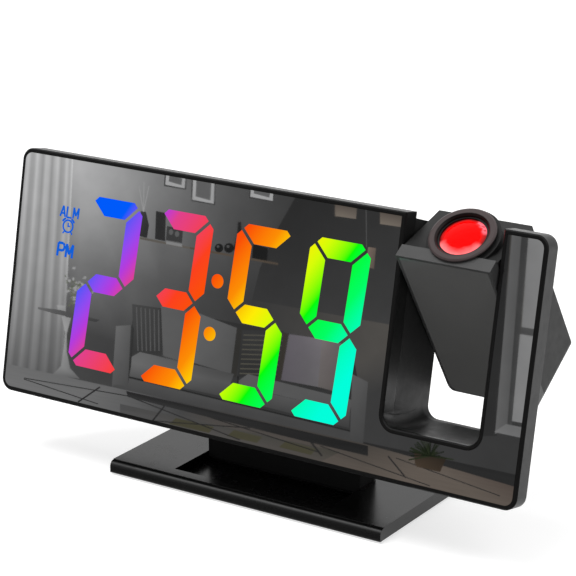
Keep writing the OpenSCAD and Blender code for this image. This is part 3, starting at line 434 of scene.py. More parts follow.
@dataclass(frozen=True)
class GlossLacquer(Finish):
    """Satin-gloss black with a trace of orange peel and fine wipe marks; its front is painted lighter than
    the rest and its rounded front edge carries a painted highlight line.

    Past the depth dull_from the surface is dull, where a hinge runs on it.
    """

    level: float
    roughness: float = 0.24
    specular: float = 0.35
    peel: float = 0.003
    painted_face_light: float = 24
    painted_edge_highlight: float = 78
    dull_from: float = 100.0
    ripple: float = 2.6
    wipe: float = 9.0
    cloud: float = 20.0

    def fill(self, graph: Graph) -> None:
        """Fills the material's nodes."""
        place = graph.place()
        peel = graph.noise(place, self.ripple, 2)
        wiped = graph.noise(place, self.wipe, 5, 0.65)
        smear = graph.span(wiped, 0.45, 0.75, self.roughness, self.roughness + 0.06)
        depth = graph.axes(place)[1]
        dull = graph.span(depth, self.dull_from - 0.5, self.dull_from + 0.3, 0.0, 0.95)
        smear = graph.math("MAXIMUM", smear, dull)
        colour = graph.mottle(graph.noise(place, self.cloud, 2), grey(self.level), 1.0, 1.25)
        # Painted light: by the way each side turns, the front is painted lighter than the rest and a painted
        # highlight line runs along the rounded front edge.
        ahead = graph.span(graph.axes(graph.add("TexCoord").outputs["Normal"])[1], -1.0, 0.0)
        tones = ((0.0, self.painted_face_light), (0.1, self.painted_face_light + 6), (0.3, self.painted_edge_highlight), (0.48, self.level),
                 (1.0, self.level))
        edge = graph.ramp(ahead, [(turned, grey(tone)) for turned, tone in tones])
        front = graph.span(ahead, 0.48, 0.56, 1.0, 0.0)
        graph.surface(Base_Color=graph.mix(front, colour, edge), Roughness=smear,
                      Specular_IOR_Level=self.specular, Normal=graph.bump(peel, self.peel, 0.1))


@dataclass(frozen=True)
class HalfMirror(Finish):
    """Half-silvered acrylic: a dark mirror with faint wipe marks."""

    silver: float = 0.45
    roughness: float = 0.01
    wipe: float = 16.0
    cloud: float = 30.0

    def fill(self, graph: Graph) -> None:
        """Fills the material's nodes."""
        place = graph.place()
        wiped = graph.noise(place, self.wipe, 6, 0.7)
        smear = graph.span(wiped, 0.5, 0.8, self.roughness, self.roughness + 0.014)
        tone = graph.mix(graph.noise(place, self.cloud, 2), (self.silver * 0.98,) * 3,
                         (self.silver, self.silver * 1.005, self.silver * 1.02))
        graph.surface(Base_Color=tone, Metallic=1.0, Roughness=smear)


@dataclass(frozen=True)
class SmokedPanel(Finish):
    """Smoked acrylic with a faint painted glow that evens out its shade: an even grey under a clear gloss."""

    level: float = 66
    metal: float = 0.06
    roughness: float = 0.08
    glow: float = 0.034
    cloud: float = 12.0

    def fill(self, graph: Graph) -> None:
        """Fills the material's nodes."""
        place = graph.place()
        haze = graph.noise(place, self.cloud, 4)
        smear = graph.span(haze, 0.4, 0.7, self.roughness, self.roughness + 0.05)
        tone = graph.mix(haze, grey(0.96 * self.level), grey(1.03 * self.level))
        graph.surface(Base_Color=tone, Metallic=self.metal, Roughness=smear, Specular_IOR_Level=0.25,
                      # Painted light: the faint emission lifts the panel evenly where it would lie in shade.
                      Emission_Color=(1.0, 1.0, 0.97), Emission_Strength=self.glow)


@dataclass(frozen=True)
class TurnedMetal(Finish):
    """Plated, rolled or turned metal with fine lines along one way."""

    colour: Colour
    roughness: float = 0.28
    stretch: Place = (1.0, 1.0, 14.0)
    line: float = 1.2

    def fill(self, graph: Graph) -> None:
        """Fills the material's nodes."""
        place = graph.place()
        scaled = graph.add("Mapping", Scale=self.stretch)
        graph.link(place, scaled.inputs["Vector"])
        lines = graph.noise(scaled.outputs["Vector"], self.line, 5, 0.6)
        tone = graph.mottle(lines, self.colour, 0.8)
        roughness = graph.vary(lines, self.roughness - 0.08, self.roughness + 0.1)
        graph.surface(Base_Color=tone, Metallic=1.0, Roughness=roughness,
                      Normal=graph.bump(lines, 0.004, 0.1))


@dataclass(frozen=True)
class BoardLaminate(Finish):
    """Circuit board: solder mask over copper tracks."""

    mask: Colour = linear(22, 84, 48)
    track: Colour = linear(40, 120, 70)
    cloud: float = 5.0

    def fill(self, graph: Graph) -> None:
        """Fills the material's nodes."""
        place = graph.place(FRAMES.clock())
        tracks = graph.add("TexBrick", offset=0.37, squash=1.0, Scale=0.12, Mortar_Size=0.035)
        graph.link(place, tracks.inputs["Vector"])
        lift = tracks.outputs["Fac"]
        roughness = graph.vary(graph.noise(place, self.cloud), 0.26, 0.36)
        graph.surface(Base_Color=graph.mix(lift, self.mask, self.track), Roughness=roughness,
                      Normal=graph.bump(lift, 0.02))


@dataclass(frozen=True)
class RubberPad(Finish):
    """Matt rubber with a fine ribbed grain."""

    level: float = 34
    grain: float = 0.3

    def fill(self, graph: Graph) -> None:
        """Fills the material's nodes."""
        place = graph.place()
        ribs = graph.add("TexWave", wave_type="BANDS", Scale=0.6, Distortion=0.2)
        graph.link(place, ribs.inputs["Vector"])
        fine = graph.noise(place, self.grain, 3)
        height = graph.math("MULTIPLY_ADD", fine, 0.4, ribs.outputs["Fac"])
        colour = graph.mix(fine, grey(self.level * 0.9), grey(self.level * 1.15))
        graph.surface(Base_Color=colour, Roughness=0.85, Normal=graph.bump(height, 0.03))


@dataclass(frozen=True)
class TranslucentPlastic(Finish):
    """Milky light bar, lamp body or mask plastic with soft light in it."""

    colour: Colour
    roughness: float = 0.35
    glow: float = 0.0
    cloud: float = 4.0

    def fill(self, graph: Graph) -> None:
        """Fills the material's nodes."""
        place = graph.place()
        cloud = graph.noise(place, self.cloud, 3)
        tone = graph.mottle(cloud, self.colour, 0.9)
        graph.surface(Base_Color=tone, Roughness=self.roughness, Subsurface_Weight=0.3,
                      Subsurface_Scale=0.002, Emission_Color=tone, Emission_Strength=self.glow,
                      Normal=graph.bump(cloud, 0.01))


@dataclass(frozen=True)
class OpticGlass(Finish):
    """Moulded optical glass or film."""

    colour: Colour
    roughness: float = 0.03
    clear: float = 0.95
    haze: float = 2.0
    cloud: float = 6.0

    def fill(self, graph: Graph) -> None:
        """Fills the material's nodes."""
        place = graph.place()
        hazy = graph.noise(place, self.haze, 4)
        haze = graph.span(hazy, 0.4, 0.8, self.roughness, self.roughness + 0.03)
        tone = graph.mottle(graph.noise(place, self.cloud), self.colour, 0.94)
        graph.surface(Base_Color=tone, Roughness=haze, Transmission_Weight=self.clear, IOR=1.49)


@dataclass(frozen=True)
class RedLensGlass(Finish):
    """The projector's front lens, lit red from behind, painted as light: a bright core that falls to a dark
    rim, and pale glints painted as reflections.
    """

    radius: float = 7.09
    blur: float = 9.0
    near_arc: tuple[float, float] = (277, 66)
    far_arc: tuple[float, float] = (47, 24)
    glint: Colour = linear(255, 118, 120)
    far_glint: Colour = linear(222, 96, 108)

    def arc(self, graph: Graph, turn: Socket, middle: float, half: float) -> Socket:
        """Softly marks one arc round the lens, where a painted glint lies.

        Args:
            graph: The material's nodes.
            turn: Angle round the axis.
            middle: Angle of the arc's middle, in degrees.
            half: Half of its length, in degrees.

        Returns:
            A factor, 1 inside the arc.
        """
        near = graph.math("COSINE", graph.math("SUBTRACT", turn, math.radians(middle)))
        low, high = (math.cos(math.radians(half + side * self.blur)) for side in (1, -1))
        return graph.span(near, low, high, smooth=True)

    def fill(self, graph: Graph) -> None:
        """Fills the material's nodes."""
        place = graph.place(FRAMES.lens())
        across, up, _ = graph.axes(place)
        radius = graph.length(across, up)
        turn = graph.math("ARCTAN2", up, across)
        wobble = graph.math("MULTIPLY_ADD", graph.noise(place, 2.4, 2), 1.5, -0.75)
        reach = graph.math("DIVIDE", graph.math("ADD", radius, wobble), self.radius)
        glow = graph.ramp(reach, ((0.0, (1, 0, 0)), (0.62, (1, 0, 0)), (0.76, (0.62, 0, 0)),
                                  (0.9, (0.3, 0.01, 0.01)), (1.0, (0.1, 0, 0))))
        # Painted highlights: two arcs of pale glints stand for reflections in the lens.
        low = graph.math("MULTIPLY", self.arc(graph, turn, *self.near_arc), graph.span(reach, 0.66, 1.0))
        far = graph.math("MULTIPLY", self.arc(graph, turn, *self.far_arc), graph.span(reach, 0.72, 0.86))
        streaks = graph.span(graph.noise(place, 1.3, 1), 0.42, 0.52, 0.25, 1)
        colour = graph.mix(low, glow, self.glint)
        colour = graph.mix(graph.math("MULTIPLY", far, streaks), colour, self.far_glint)
        graph.surface(Base_Color=colour, Roughness=0.05, Specular_IOR_Level=0.06,
                      Emission_Color=colour, Emission_Strength=0.8)


@dataclass(frozen=True)
class LitFilm(Finish):
    """Light shining through the mirror, its colour running from blue at the upper left to turquoise."""

    strength: float = 1.0
    turn: float = math.radians(33)
    pivot: float = 40.0
    start: float = -60.0
    end: float = 40.0

    def stops(self) -> list[tuple[float, Colour]]:
        """The display's run of colours, as places from 0 to 1 with linear colours."""
        run = ((-57, 0, 90, 250), (-50, 145, 75, 240), (-46, 180, 60, 220), (-41, 225, 65, 140),
               (-33, 240, 65, 95), (-26, 252, 65, 30), (-19, 250, 80, 8), (-10, 252, 142, 5),
               (-1, 254, 236, 6), (5, 215, 253, 8), (13, 6, 252, 6), (22, 3, 253, 100),
               (31, 4, 253, 196), (36, 3, 254, 218))
        return [((s - self.start) / (self.end - self.start), linear(r, g, b)) for s, r, g, b in run]

    def fill(self, graph: Graph) -> None:
        """Fills the material's nodes."""
        x, _, z = graph.axes(graph.place(FRAMES.clock()))
        across = graph.math("MULTIPLY", x, math.cos(self.turn))
        up = graph.math("MULTIPLY", graph.math("SUBTRACT", z, self.pivot), -math.sin(self.turn))
        run = graph.span(graph.math("ADD", across, up), self.start, self.end)
        colour = graph.ramp(run, self.stops())
        graph.shine(colour, self.strength)


@dataclass(frozen=True)
class LitInk(Finish):
    """A sign shining in one colour, a little uneven like lamplight behind a film."""

    colour: Colour
    strength: float = 1.0
    cloud: float = 2.0

    def fill(self, graph: Graph) -> None:
        """Fills the material's nodes."""
        glow = graph.mottle(graph.noise(graph.place(), self.cloud), self.colour, 0.9)
        graph.shine(glow, self.strength)


@dataclass(frozen=True)
class PrintedInk(Finish):
    """Pad-printed ink, slightly raised and mottled."""

    colour: Colour
    cloud: float = 0.5

    def fill(self, graph: Graph) -> None:
        """Fills the material's nodes."""
        cloud = graph.noise(graph.place(), self.cloud, 3)
        tone = graph.mottle(cloud, self.colour, 0.86)
        graph.surface(Base_Color=tone, Roughness=0.55, Normal=graph.bump(cloud, 0.004))


@dataclass(frozen=True)
class StageFloor(Finish):
    """White studio floor that keeps a soft shadow."""

    name: str = "studio_floor"
    shade: float = 0.52
    lift: float = 0.66

    def fill(self, graph: Graph) -> None:
        """Fills the material's nodes."""
        shine = graph.math("MULTIPLY", graph.seen(), self.lift)
        graph.surface(Base_Color=(self.shade,) * 3, Roughness=0.9, Specular_IOR_Level=0.0,
                      Emission_Color=(1, 1, 1), Emission_Strength=shine)


# ---------------------------------------------------------------- meshes


class Maker:
    """Makes mesh pieces in one frame and hands them to a body."""

    def __init__(self, at: Matrix, body: str) -> None:
        """Works in frame at, in millimetres, for pieces that ride on body."""
        self.at = at
        self.body = body

    def piece(self, name: str, build: Filler, material: Material) -> None:
        """Makes one piece.

        Args:
            name: Name of the piece.
            build: Fills a bmesh, in millimetres in this frame.
            material: Its finish.
        """
        made = mesh_object(name, build, self.at @ Matrix.Scale(MM, 4), material)
        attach(made, self.body)
        LOG.info("%s rides on %s", name, self.body)


def mesh_object(name: str, build: Filler, at: Matrix, material: Material) -> bpy.types.Object:
    """Makes an object whose vertices are in the row frame.

    Args:
        name: Name of the object.
        build: Fills a bmesh in the frame at.
        at: Frame of the bmesh.
        material: Its finish.

    Returns:
        The new object, linked to the scene.
    """
    bm = bmesh.new()
    build(bm)
    bmesh.ops.transform(bm, matrix=at, verts=bm.verts)
    bmesh.ops.recalc_face_normals(bm, faces=bm.faces)
    mesh = bpy.data.meshes.new(name)
    bm.to_mesh(mesh)
    bm.free()
    mesh.materials.append(material)
    made = bpy.data.objects.new(name, mesh)
    bpy.context.scene.collection.objects.link(made)
    return made


def prism(bm: BMesh, outline: Sequence[Point], y0: float, y1: float) -> None:
    """Adds a prism drawn in x and z, from depth y0 to y1.

    Args:
        bm: Mesh to add to.
        outline: Corners in order.
        y0: Front depth.
        y1: Back depth.
    """
    front = [bm.verts.new((x, y0, z)) for x, z in outline]
    back = [bm.verts.new((x, y1, z)) for x, z in outline]
    bm.faces.new(front)
    bm.faces.new(back[::-1])
    for k in range(len(outline)):
        n = (k + 1) % len(outline)
        bm.faces.new((front[k], back[k], back[n], front[n]))


def disc(centre: Point, radius: float, count: int = 32) -> list[Point]:
    """Corners of a round outline, count of them."""
    turns = [math.tau * k / count for k in range(count)]
    return [(centre[0] + radius * math.cos(turn), centre[1] + radius * math.sin(turn)) for turn in turns]


def band(bm: BMesh, path: Sequence[Point], width: float, y0: float, y1: float,
         closed: bool = False) -> None:
    """Adds a flat band of one width along a path in x and z, mitred at its corners.

    Args:
        bm: Mesh to add to.
        path: Points along its middle.
        width: Width of the band.
        y0: Front depth.
        y1: Back depth.
        closed: Whether the path closes on itself.
    """
    points = [Vector(p) for p in path]
    count = len(points)
    sides: list[tuple[Vector, Vector]] = []
    for k, point in enumerate(points):
        before = points[k - 1] if k or closed else None
        after = points[(k + 1) % count] if k < count - 1 or closed else None
        ways = [(point - before).normalized()] if before else []
        if after:
            ways.append((after - point).normalized())
        way = sum(ways, Vector((0, 0))).normalized()
        across = Vector((-way.y, way.x))
        reach = width / 2 / max(across.dot(Vector((-ways[0].y, ways[0].x))), 0.4)
        sides.append((point + across * reach, point - across * reach))
    rings = [[bm.verts.new((spot.x, y, spot.y)) for spot, y in ((a, y0), (a, y1), (b, y1), (b, y0))]
             for a, b in sides]
    for k in range(count if closed else count - 1):
        one, two = rings[k], rings[(k + 1) % count]
        for c in range(4):
            bm.faces.new((one[c], one[(c + 1) % 4], two[(c + 1) % 4], two[c]))
    if not closed:
        bm.faces.new(rings[0])
        bm.faces.new(rings[-1][::-1])


# ---------------------------------------------------------------- the display's light


@dataclass(frozen=True)
class Word:
    """A word of the display: its text, lower left corner, letter size, pitch and stroke."""

    text: str
    low: Point
    size: Point
    pitch: float
    stroke: float


@dataclass
class LitDisplay:
    """The light of the display, seen on the mirror: four digits, a colon and the signs at their left."""

    centres: tuple[float, ...] = (-57.0, -29.85, 0.2, 26.6)
    digits: tuple[Digit, ...] = (Digit.TWO, Digit.THREE, Digit.FIVE, Digit.NINE)
    mid_z: float = 40.6
    width: float = 21.2
    height: float = 55.0
    stroke: float = 5.8
    gap: float = 1.1
    clip: float = 1.45
    slant: float = math.tan(math.radians(2.8))
    colon_x: float = -15.0
    colon_rise: float = 8.3
    dot: float = 2.2
    proud: float = 0.05
    sunk: float = 0.02
    ink: Colour = linear(20, 98, 218)
    alarm_word: Word = Word("ALM", (-77.5, 59.7), (1.95, 3.5), 2.6, 0.6)
    half_day_word: Word = Word("PM", (-77.2, 46.9), (2.5, 4.3), 3.4, 0.85)
    bell_at: Point = (-73.95, 56.9)
    bell_r: float = 1.95

    def outline(self, name: str) -> list[Point]:
        """Corners of one upright segment about the digit's middle.

        Args:
            name: Letter of the segment, a to g.

        Returns:
            The corners in order.
        """
        w, h, t, c = self.width / 2, self.height / 2, self.stroke, self.clip
        k = self.gap * math.sqrt(0.5)
        if name in "ad":
            shape = [(-w + k + c, h - c), (-w + k + 2 * c, h), (w - k - 2 * c, h), (w - k - c, h - c),
                     (w - k - t, h - t), (-w + k + t, h - t)]
        elif name == "g":
            shape = [(-w + k + t / 2, 0), (-w + k + t, t / 2), (w - k - t, t / 2), (w - k - t / 2, 0),
                     (w - k - t, -t / 2), (-w + k + t, -t / 2)]
        else:
            shape = [(w - c, h - k - c), (w, h - k - 2 * c), (w, k + t / 2), (w - t / 2, k),
                     (w - t, k + t / 2), (w - t, h - k - t)]
        across = -1 if name in "ef" else 1
        upward = -1 if name in "cde" else 1
        return [(across * x, upward * z) for x, z in shape]

    def build(self) -> None:
        """Makes the lit digits, dots and signs."""
        maker = Maker(FRAMES.clock(), "clock")
        film = LitFilm("display_light").material()
        for place, (centre, digit) in enumerate(zip(self.centres, self.digits), start=1):
            shapes = partial(self.segments, centre=centre, digit=digit)
            maker.piece(f"lit_digit_{place}", shapes, film)
        maker.piece("lit_colon", self.dots, film)
        ink = LitInk("sign_light", self.ink).material()
        signs = {"lit_alarm_letters": partial(self.letters, word=self.alarm_word),
                 "lit_alarm_sign": self.bell_clock,
                 "lit_half_day_letters": partial(self.letters, word=self.half_day_word)}
        for name, draw in signs.items():
            maker.piece(name, draw, ink)

    def segments(self, bm: BMesh, centre: float, digit: Digit) -> None:
        """Adds a digit's lit segments about centre."""
        for name in digit.value:
            outline = [(centre + x + z * self.slant, self.mid_z + z) for x, z in self.outline(name)]
            prism(bm, outline, -self.proud, self.sunk)

    def dots(self, bm: BMesh) -> None:
        """Adds the two dots of the colon."""
        for side in (-1, 1):
            rise = side * self.colon_rise
            centre = (self.colon_x + rise * self.slant, self.mid_z + rise)
            prism(bm, disc(centre, self.dot), -self.proud, self.sunk)

    def letters(self, bm: BMesh, word: Word) -> None:
        """Adds a word in plain strokes."""
        wide, high = word.size
        for place, letter in enumerate(word.text):
            left = word.low[0] + place * word.pitch
            for stroke in Letter[letter].value:
                path = [(left + x * wide + z * high * self.slant, word.low[1] + z * high) for x, z in stroke]
                band(bm, path, word.stroke, -self.proud, self.sunk)

    def bell_clock(self, bm: BMesh) -> None:
        """Adds the small bell-clock sign: a ring, hands, two bells and two feet."""
        x, z = self.bell_at
        ring, line, bell = 0.55, 0.45, 0.65
        reach = self.bell_r + 0.75
        band(bm, disc((x, z), self.bell_r, 24), ring, -self.proud, self.sunk, closed=True)
        band(bm, ((x, z + 1.1), (x, z), (x + 0.75, z)), line, -self.proud, self.sunk)
        for side in (-1, 1):
            turns = (0.45, 0.65, 0.85, 1.05)
            arc = [(x + side * reach * math.sin(turn), z + reach * math.cos(turn)) for turn in turns]
            band(bm, arc, bell, -self.proud, self.sunk)
            foot = ((x + side * 1.25, z - 1.7), (x + side * 1.9, z - 2.5))
            band(bm, foot, line, -self.proud, self.sunk)


@dataclass
class KeySigns:
    """Plain printed signs above the keys on the back: a bell clock, a clock, two arrows and a beam."""

    first_x: float = -69.0
    pitch: float = 15.0
    sign_z: float = 66.0
    back_y: float = 27.5
    proud: float = 0.04
    size: float = 1.5
    stroke: float = 0.3

    def build(self) -> None:
        """Makes the five signs, seen the right way round from behind."""
        maker = Maker(FRAMES.clock(), "clock")
        ink = PrintedInk("key_sign_ink", linear(176, 178, 180)).material()
        signs = {"alarm": self.bell, "time": self.dial, "up": partial(self.arrow, way=1),
                 "down": partial(self.arrow, way=-1), "projector": self.beam}
        for place, (name, draw) in enumerate(signs.items()):
            middle = (self.first_x + place * self.pitch, self.sign_z)
            maker.piece(f"key_sign_{name}", partial(draw, middle=middle), ink)

    def stroke_on(self, bm: BMesh, middle: Point, path: Sequence[Point],
                  closed: bool = False) -> None:
        """Adds a stroke of the ink along a path about middle, mirrored to read from behind."""
        points = [(middle[0] - x * self.size, middle[1] + z * self.size) for x, z in path]
        band(bm, points, self.stroke, self.back_y - self.proud, self.back_y + self.proud, closed)

    def dial(self, bm: BMesh, middle: Point) -> None:
        """A ring with two hands."""
        self.stroke_on(bm, middle, disc((0, 0), 1.0, 28), closed=True)
        self.stroke_on(bm, middle, ((0, 0.62), (0, 0), (0.45, 0)))

    def bell(self, bm: BMesh, middle: Point) -> None:
        """A dial with two bells."""
        self.dial(bm, middle)
        for side in (-1, 1):
            arc = [(side * 1.38 * math.sin(a), 1.38 * math.cos(a)) for a in (0.4, 0.65, 0.9)]
            self.stroke_on(bm, middle, arc)

    def arrow(self, bm: BMesh, middle: Point, way: int) -> None:
        """An arrow head that points up where way is 1, and down where it is -1."""
        self.stroke_on(bm, middle, ((-0.9, -0.5 * way), (0, 0.6 * way), (0.9, -0.5 * way)))

    def beam(self, bm: BMesh, middle: Point) -> None:
        """A lamp box with a spreading beam."""
        self.stroke_on(bm, middle, ((-1.1, -0.4), (-0.3, -0.4), (-0.3, 0.4), (-1.1, 0.4)), closed=True)
        for end in (-0.8, 0.0, 0.8):
            self.stroke_on(bm, middle, ((0.05, 0.35 * end), (1.1, end)))


# ---------------------------------------------------------------- dressing of the frame's own nodes


@dataclass
class Wardrobe:
    """Gives each node of the frame its finish."""

    steel: Colour = linear(196, 198, 203)

    def finishes(self) -> dict[str, Finish]:
        """The finishes by slot of the record."""
        return {
            "base_gloss": GlossLacquer("base_gloss_black", 8),
            "base_gloss_metal": GlossLacquer("base_plate_enamel", 20, 0.26, painted_face_light=20, painted_edge_highlight=20,
                                             dull_from=-0.6),
            "weight_steel": TurnedMetal("weight_rolled_steel", linear(150, 150, 154), 0.4),
            "screw_steel": TurnedMetal("screw_plated_steel", self.steel),
            "pad_rubber": RubberPad("base_pad_rubber"),
            "pin_steel": TurnedMetal("hinge_pin_blackened", linear(46, 46, 49), 0.45),
            "bracket_plastic": MouldedPlastic("bracket_black", 36, 0.62, edge=0.0, specular=0.03),
            "frame_plastic": MouldedPlastic("frame_black", 21, 0.33, specular=0.2),
            "panel_mirror": HalfMirror("panel_half_mirror"),
            "mask_plastic": TranslucentPlastic("mask_white", linear(228, 228, 224), 0.6),
            "light_bar": TranslucentPlastic("light_bar_milky", linear(240, 240, 235)),
            "board_green": BoardLaminate("board_laminate"),
            "led_body": TranslucentPlastic("lamp_resin", linear(244, 238, 214), 0.2),
            "chip_black": MouldedPlastic("chip_matt_black", 36, 0.6),
            "housing_plastic": MouldedPlastic("housing_charcoal", 36, 0.46, grain=0.22, depth=0.02,
                                              specular=0.24),
            "key_plastic": MouldedPlastic("key_satin", 58, 0.4),
            "inlet_steel": TurnedMetal("inlet_plated_steel", self.steel, 0.22),
            "cup_plastic": MouldedPlastic("cup_black", 40, 0.55),
            "cell_steel": TurnedMetal("coin_cell_steel", linear(205, 206, 210), 0.2, (8.0, 8.0, 1.0)),
            "contact_brass": TurnedMetal("contact_brass", linear(205, 170, 92), 0.25),
            "bush_plastic": MouldedPlastic("bush_natural", 214, 0.35),
            "head_plastic": MouldedPlastic("head_charcoal", 40, 0.46, grain=0.2, depth=0.016, specular=0.15),
            "engine_plastic": MouldedPlastic("engine_matt_black", 26, 0.6),
            "slide_glass": OpticGlass("number_slide_film", (0.75, 0.8, 0.85), clear=0.8),
            "clear_glass": OpticGlass("condenser_glass", (0.95, 0.97, 0.98)),
            "lamp_red": TranslucentPlastic("lamp_red_resin", (0.8, 0.03, 0.02), 0.2, 1.0),
            "ring_plastic": RingPlastic("ring_satin"),
            "lens_red": RedLensGlass("front_lens_red")}

    def exceptions(self) -> dict[str, Finish]:
        """The finishes of single nodes that differ from the rest of their slot."""
        return {
            "head_mirror": SmokedPanel("head_smoked_panel"),
            # Painted light: the head's front shell is the head's charcoal painted lighter, for the light on
            # its top strip.
            "head_front_shell": MouldedPlastic("head_front_charcoal_painted_light", 70, 0.44, grain=0.2, specular=0.4)}

    def build(self) -> None:
        """Assigns every node's material by its name, or else by its slot in the record."""
        slots = {slot: finish.material() for slot, finish in self.finishes().items()}
        single = {node: finish.material() for node, finish in self.exceptions().items()}
        for part in frame["record"]["subparts"]:
            node = frame["nodes"][part["node"]]
            node.data.materials.clear()
            node.data.materials.append(single.get(part["node"], slots[part["material_slot"]]))
            LOG.info("%s dressed as %s", part["node"], part["material_slot"])


# ---------------------------------------------------------------- the dim room that gloss sees


@dataclass(frozen=True)
class RoomPaint(Finish):
    """Dim light of the room, its shades taken from the mesh's own layer and made a little uneven."""

    name: str = "room_paint"
    size: float = 30.0

    def fill(self, graph: Graph) -> None:
        """Fills the material's nodes."""
        shade = graph.add("Attribute", attribute_name="shade")
        cloud = graph.vary(graph.noise(graph.place(), self.size, 4, 0.6), 0.94, 1.06)
        emission = graph.add("Emission")
        graph.link(shade.outputs["Color"], emission.inputs["Color"])
        graph.link(cloud, emission.inputs["Strength"])
        graph.link(emission.outputs["Emission"], graph.output.inputs["Surface"])


@dataclass
class DimRoom:
    """A dim room in front of the clock, made of flat cut-outs that only mirrors and gloss see.

    The cut-outs are drawn in steps of a square grid that faces the panel's mirror image of the
    camera. A tone is a grey, or three channels, of 0 to 255 as the panel gives it back. Each
    cut-out stands one layer in front of the one before.
    """

    view: Matrix
    centre: float = 288.0
    fall: float = 0.2254
    far: float = 2.2
    layer: float = 0.0005
    lift: float = 0.0006
    floor_layer: float = 0.00001
    flattest: float = -0.0125
    silver: float = HalfMirror.silver
    window_x: float = 80.0
    window_reach: float = 130.0
    wall_dark: float = 40.0
    wall_gain: float = 138.0
    wall_fade: float = 1.3
    plant_near: float = 0.42
    shell_count: int = 36
    shell_r: float = 2.7
    shell_top: float = 1.9
    shell_tone: float = 46.0
    edge_y: float = -0.0268
    swing: float = math.radians(20)
    patches: list[tuple[list[Vector], list[Colour]]] = field(default_factory=list)

    def ray(self, point: Point) -> Vector:
        """Way from the mirrored camera through a point of the grid, one metre deep."""
        step = SENSOR / LENS / (2 * self.centre)
        flat = ((point[0] - self.centre) * step, (self.centre - point[1]) * step, -1.0)
        return self.view.to_3x3() @ Vector(flat)

    def light(self, tone: Tone) -> Colour:
        """Light that the mirror gives back as tone."""
        channels = tone if isinstance(tone, tuple) else (tone,) * 3
        return tuple(channel / self.silver for channel in linear(*channels))

    def patch(self, outline: Sequence[Point], tones: Tone | list[Tone], flat: bool = False,
              near: float = 0.0) -> None:
        """Adds a cut-out, in front of the one before.

        Args:
            outline: Its corners on the grid, in order.
            tones: One tone, or a list with one for each corner.
            flat: Whether it lies on the floor.
            near: How much nearer than the wall it stands.
        """
        rank = len(self.patches)
        corners = []
        for point in outline:
            ray = self.ray(point)
            if flat:
                height = self.lift + self.floor_layer * rank
                reach = (height - self.view.translation.z) / min(ray.z, self.flattest)
            else:
                reach = self.far - near - self.layer * rank
            corners.append(self.view.translation + ray * reach)
        each = tones if isinstance(tones, list) else [tones] * len(outline)
        self.patches.append((corners, [self.light(tone) for tone in each]))

    def line(self, start: Point, end: Point, width: float, tone: Tone, flat: bool = False,
             near: float = 0.0) -> None:
        """Adds a thin cut-out.

        Args:
            start: One end on the grid.
            end: Other end.
            width: Its width.
            tone: Its tone.
            flat: Whether it lies on the floor.
            near: How much nearer than the wall it stands.
        """
        a, b = Vector(start), Vector(end)
        side = Vector((a.y - b.y, b.x - a.x)).normalized() * width / 2
        self.patch([tuple(a - side), tuple(b - side), tuple(b + side), tuple(a + side)], tone, flat, near)

    def on_floor(self, outline: Sequence[Point], tones: Tone | list[Tone]) -> None:
        """Adds a cut-out that lies on the floor."""
        self.patch(outline, tones, flat=True)

    def blob(self, centre: Point, wide: float, high: float, tone: Tone, count: int = 12) -> None:
        """Adds a round cut-out.

        Args:
            centre: Its centre on the grid.
            wide: Half of its width.
            high: Half of its height.
            tone: Its tone.
            count: Number of its corners.
        """
        self.patch([(centre[0] + wide * x, centre[1] + high * z) for x, z in disc((0, 0), 1, count)], tone)

    def slope(self, x: float, level: float) -> float:
        """Height on the grid of a level line that stands at level in the middle."""
        return level + self.fall * (x - self.centre)

    def wall(self) -> None:
        """The wall, which fades from the window at the left into the dark, and its darker right half."""
        def tone(x: float, share: float) -> float:
            """The wall's tone at x, where share of the window's light reaches it."""
            away = abs(x - self.window_x) / self.window_reach
            return self.wall_dark + self.wall_gain * share * math.exp(-away ** self.wall_fade)
        columns = range(-400, 960, 40)
        rows = ((-1500, 1.0), (215, 1.0), (310, 0.56), (380, 0.2), (430, 0.2))
        for x0, x1 in zip(columns, columns[1:]):
            for (up, more), (down, less) in zip(rows, rows[1:]):
                ends = ((x0, up, more), (x1, up, more), (x1, down, less), (x0, down, less))
                self.patch([(x, self.slope(x, level)) for x, level, _ in ends],
                           [tone(x, share) for x, _, share in ends])
        self.patch([(330, 130), (420, 130), (420, 330), (252, 300), (260, 268), (278, 228), (296, 196)],
                   [44, 44, 62, 54, 50, 44, 42])
        self.patch([(420, 130), (960, 270), (960, 570), (252, 418), (252, 300), (420, 330)],
                   [46, 40, 44, 62, 56, (82, 79, 75)])

    def curtain(self) -> None:
        """A pale curtain in soft folds, lit from behind."""
        folds, knee = 16, 0.84
        tones = [174 + 22 * math.sin(1.9 * k) for k in range(folds)] + [206]
        for k in range(folds):
            shares = (k / folds, (k + 1) / folds)
            tops = [27 + 47 * share for share in shares]
            feet = [6 + 56 * share for share in shares]
            mids = [(top + foot) / 2 for top, foot in zip(tops, feet)]
            low = [364 + 0.22 * (foot - 6) for foot in feet]
            a, b = tones[k], tones[k + 1]
            fade = [0.58 - 0.15 * max(0.0, share - 0.45) for share in shares]
            self.patch([(tops[0], 140), (tops[1], 142), (mids[1], 268), (mids[0], 266)],
                       [a, b, knee * b, knee * a])
            self.patch([(mids[0], 266), (mids[1], 268), (feet[1], low[1]), (feet[0], low[0])],
                       [knee * a, knee * b, fade[1] * b, fade[0] * a])

    def blank_frames(self) -> None:
        """Three blank frames on the wall."""
        for left, right, top, foot in ((165, 187, 170, 186), (192, 216, 173, 201), (250, 275, 181, 198)):
            drop = 0.17 * (right - left)
            for inset, tone in ((0.0, 58), (1.3, 160), (4.6, 94)):
                self.patch([(left + inset, top + inset), (right - inset, top + drop + inset),
                            (right - inset - 1, foot + drop - inset), (left + inset - 1, foot - inset)], tone)

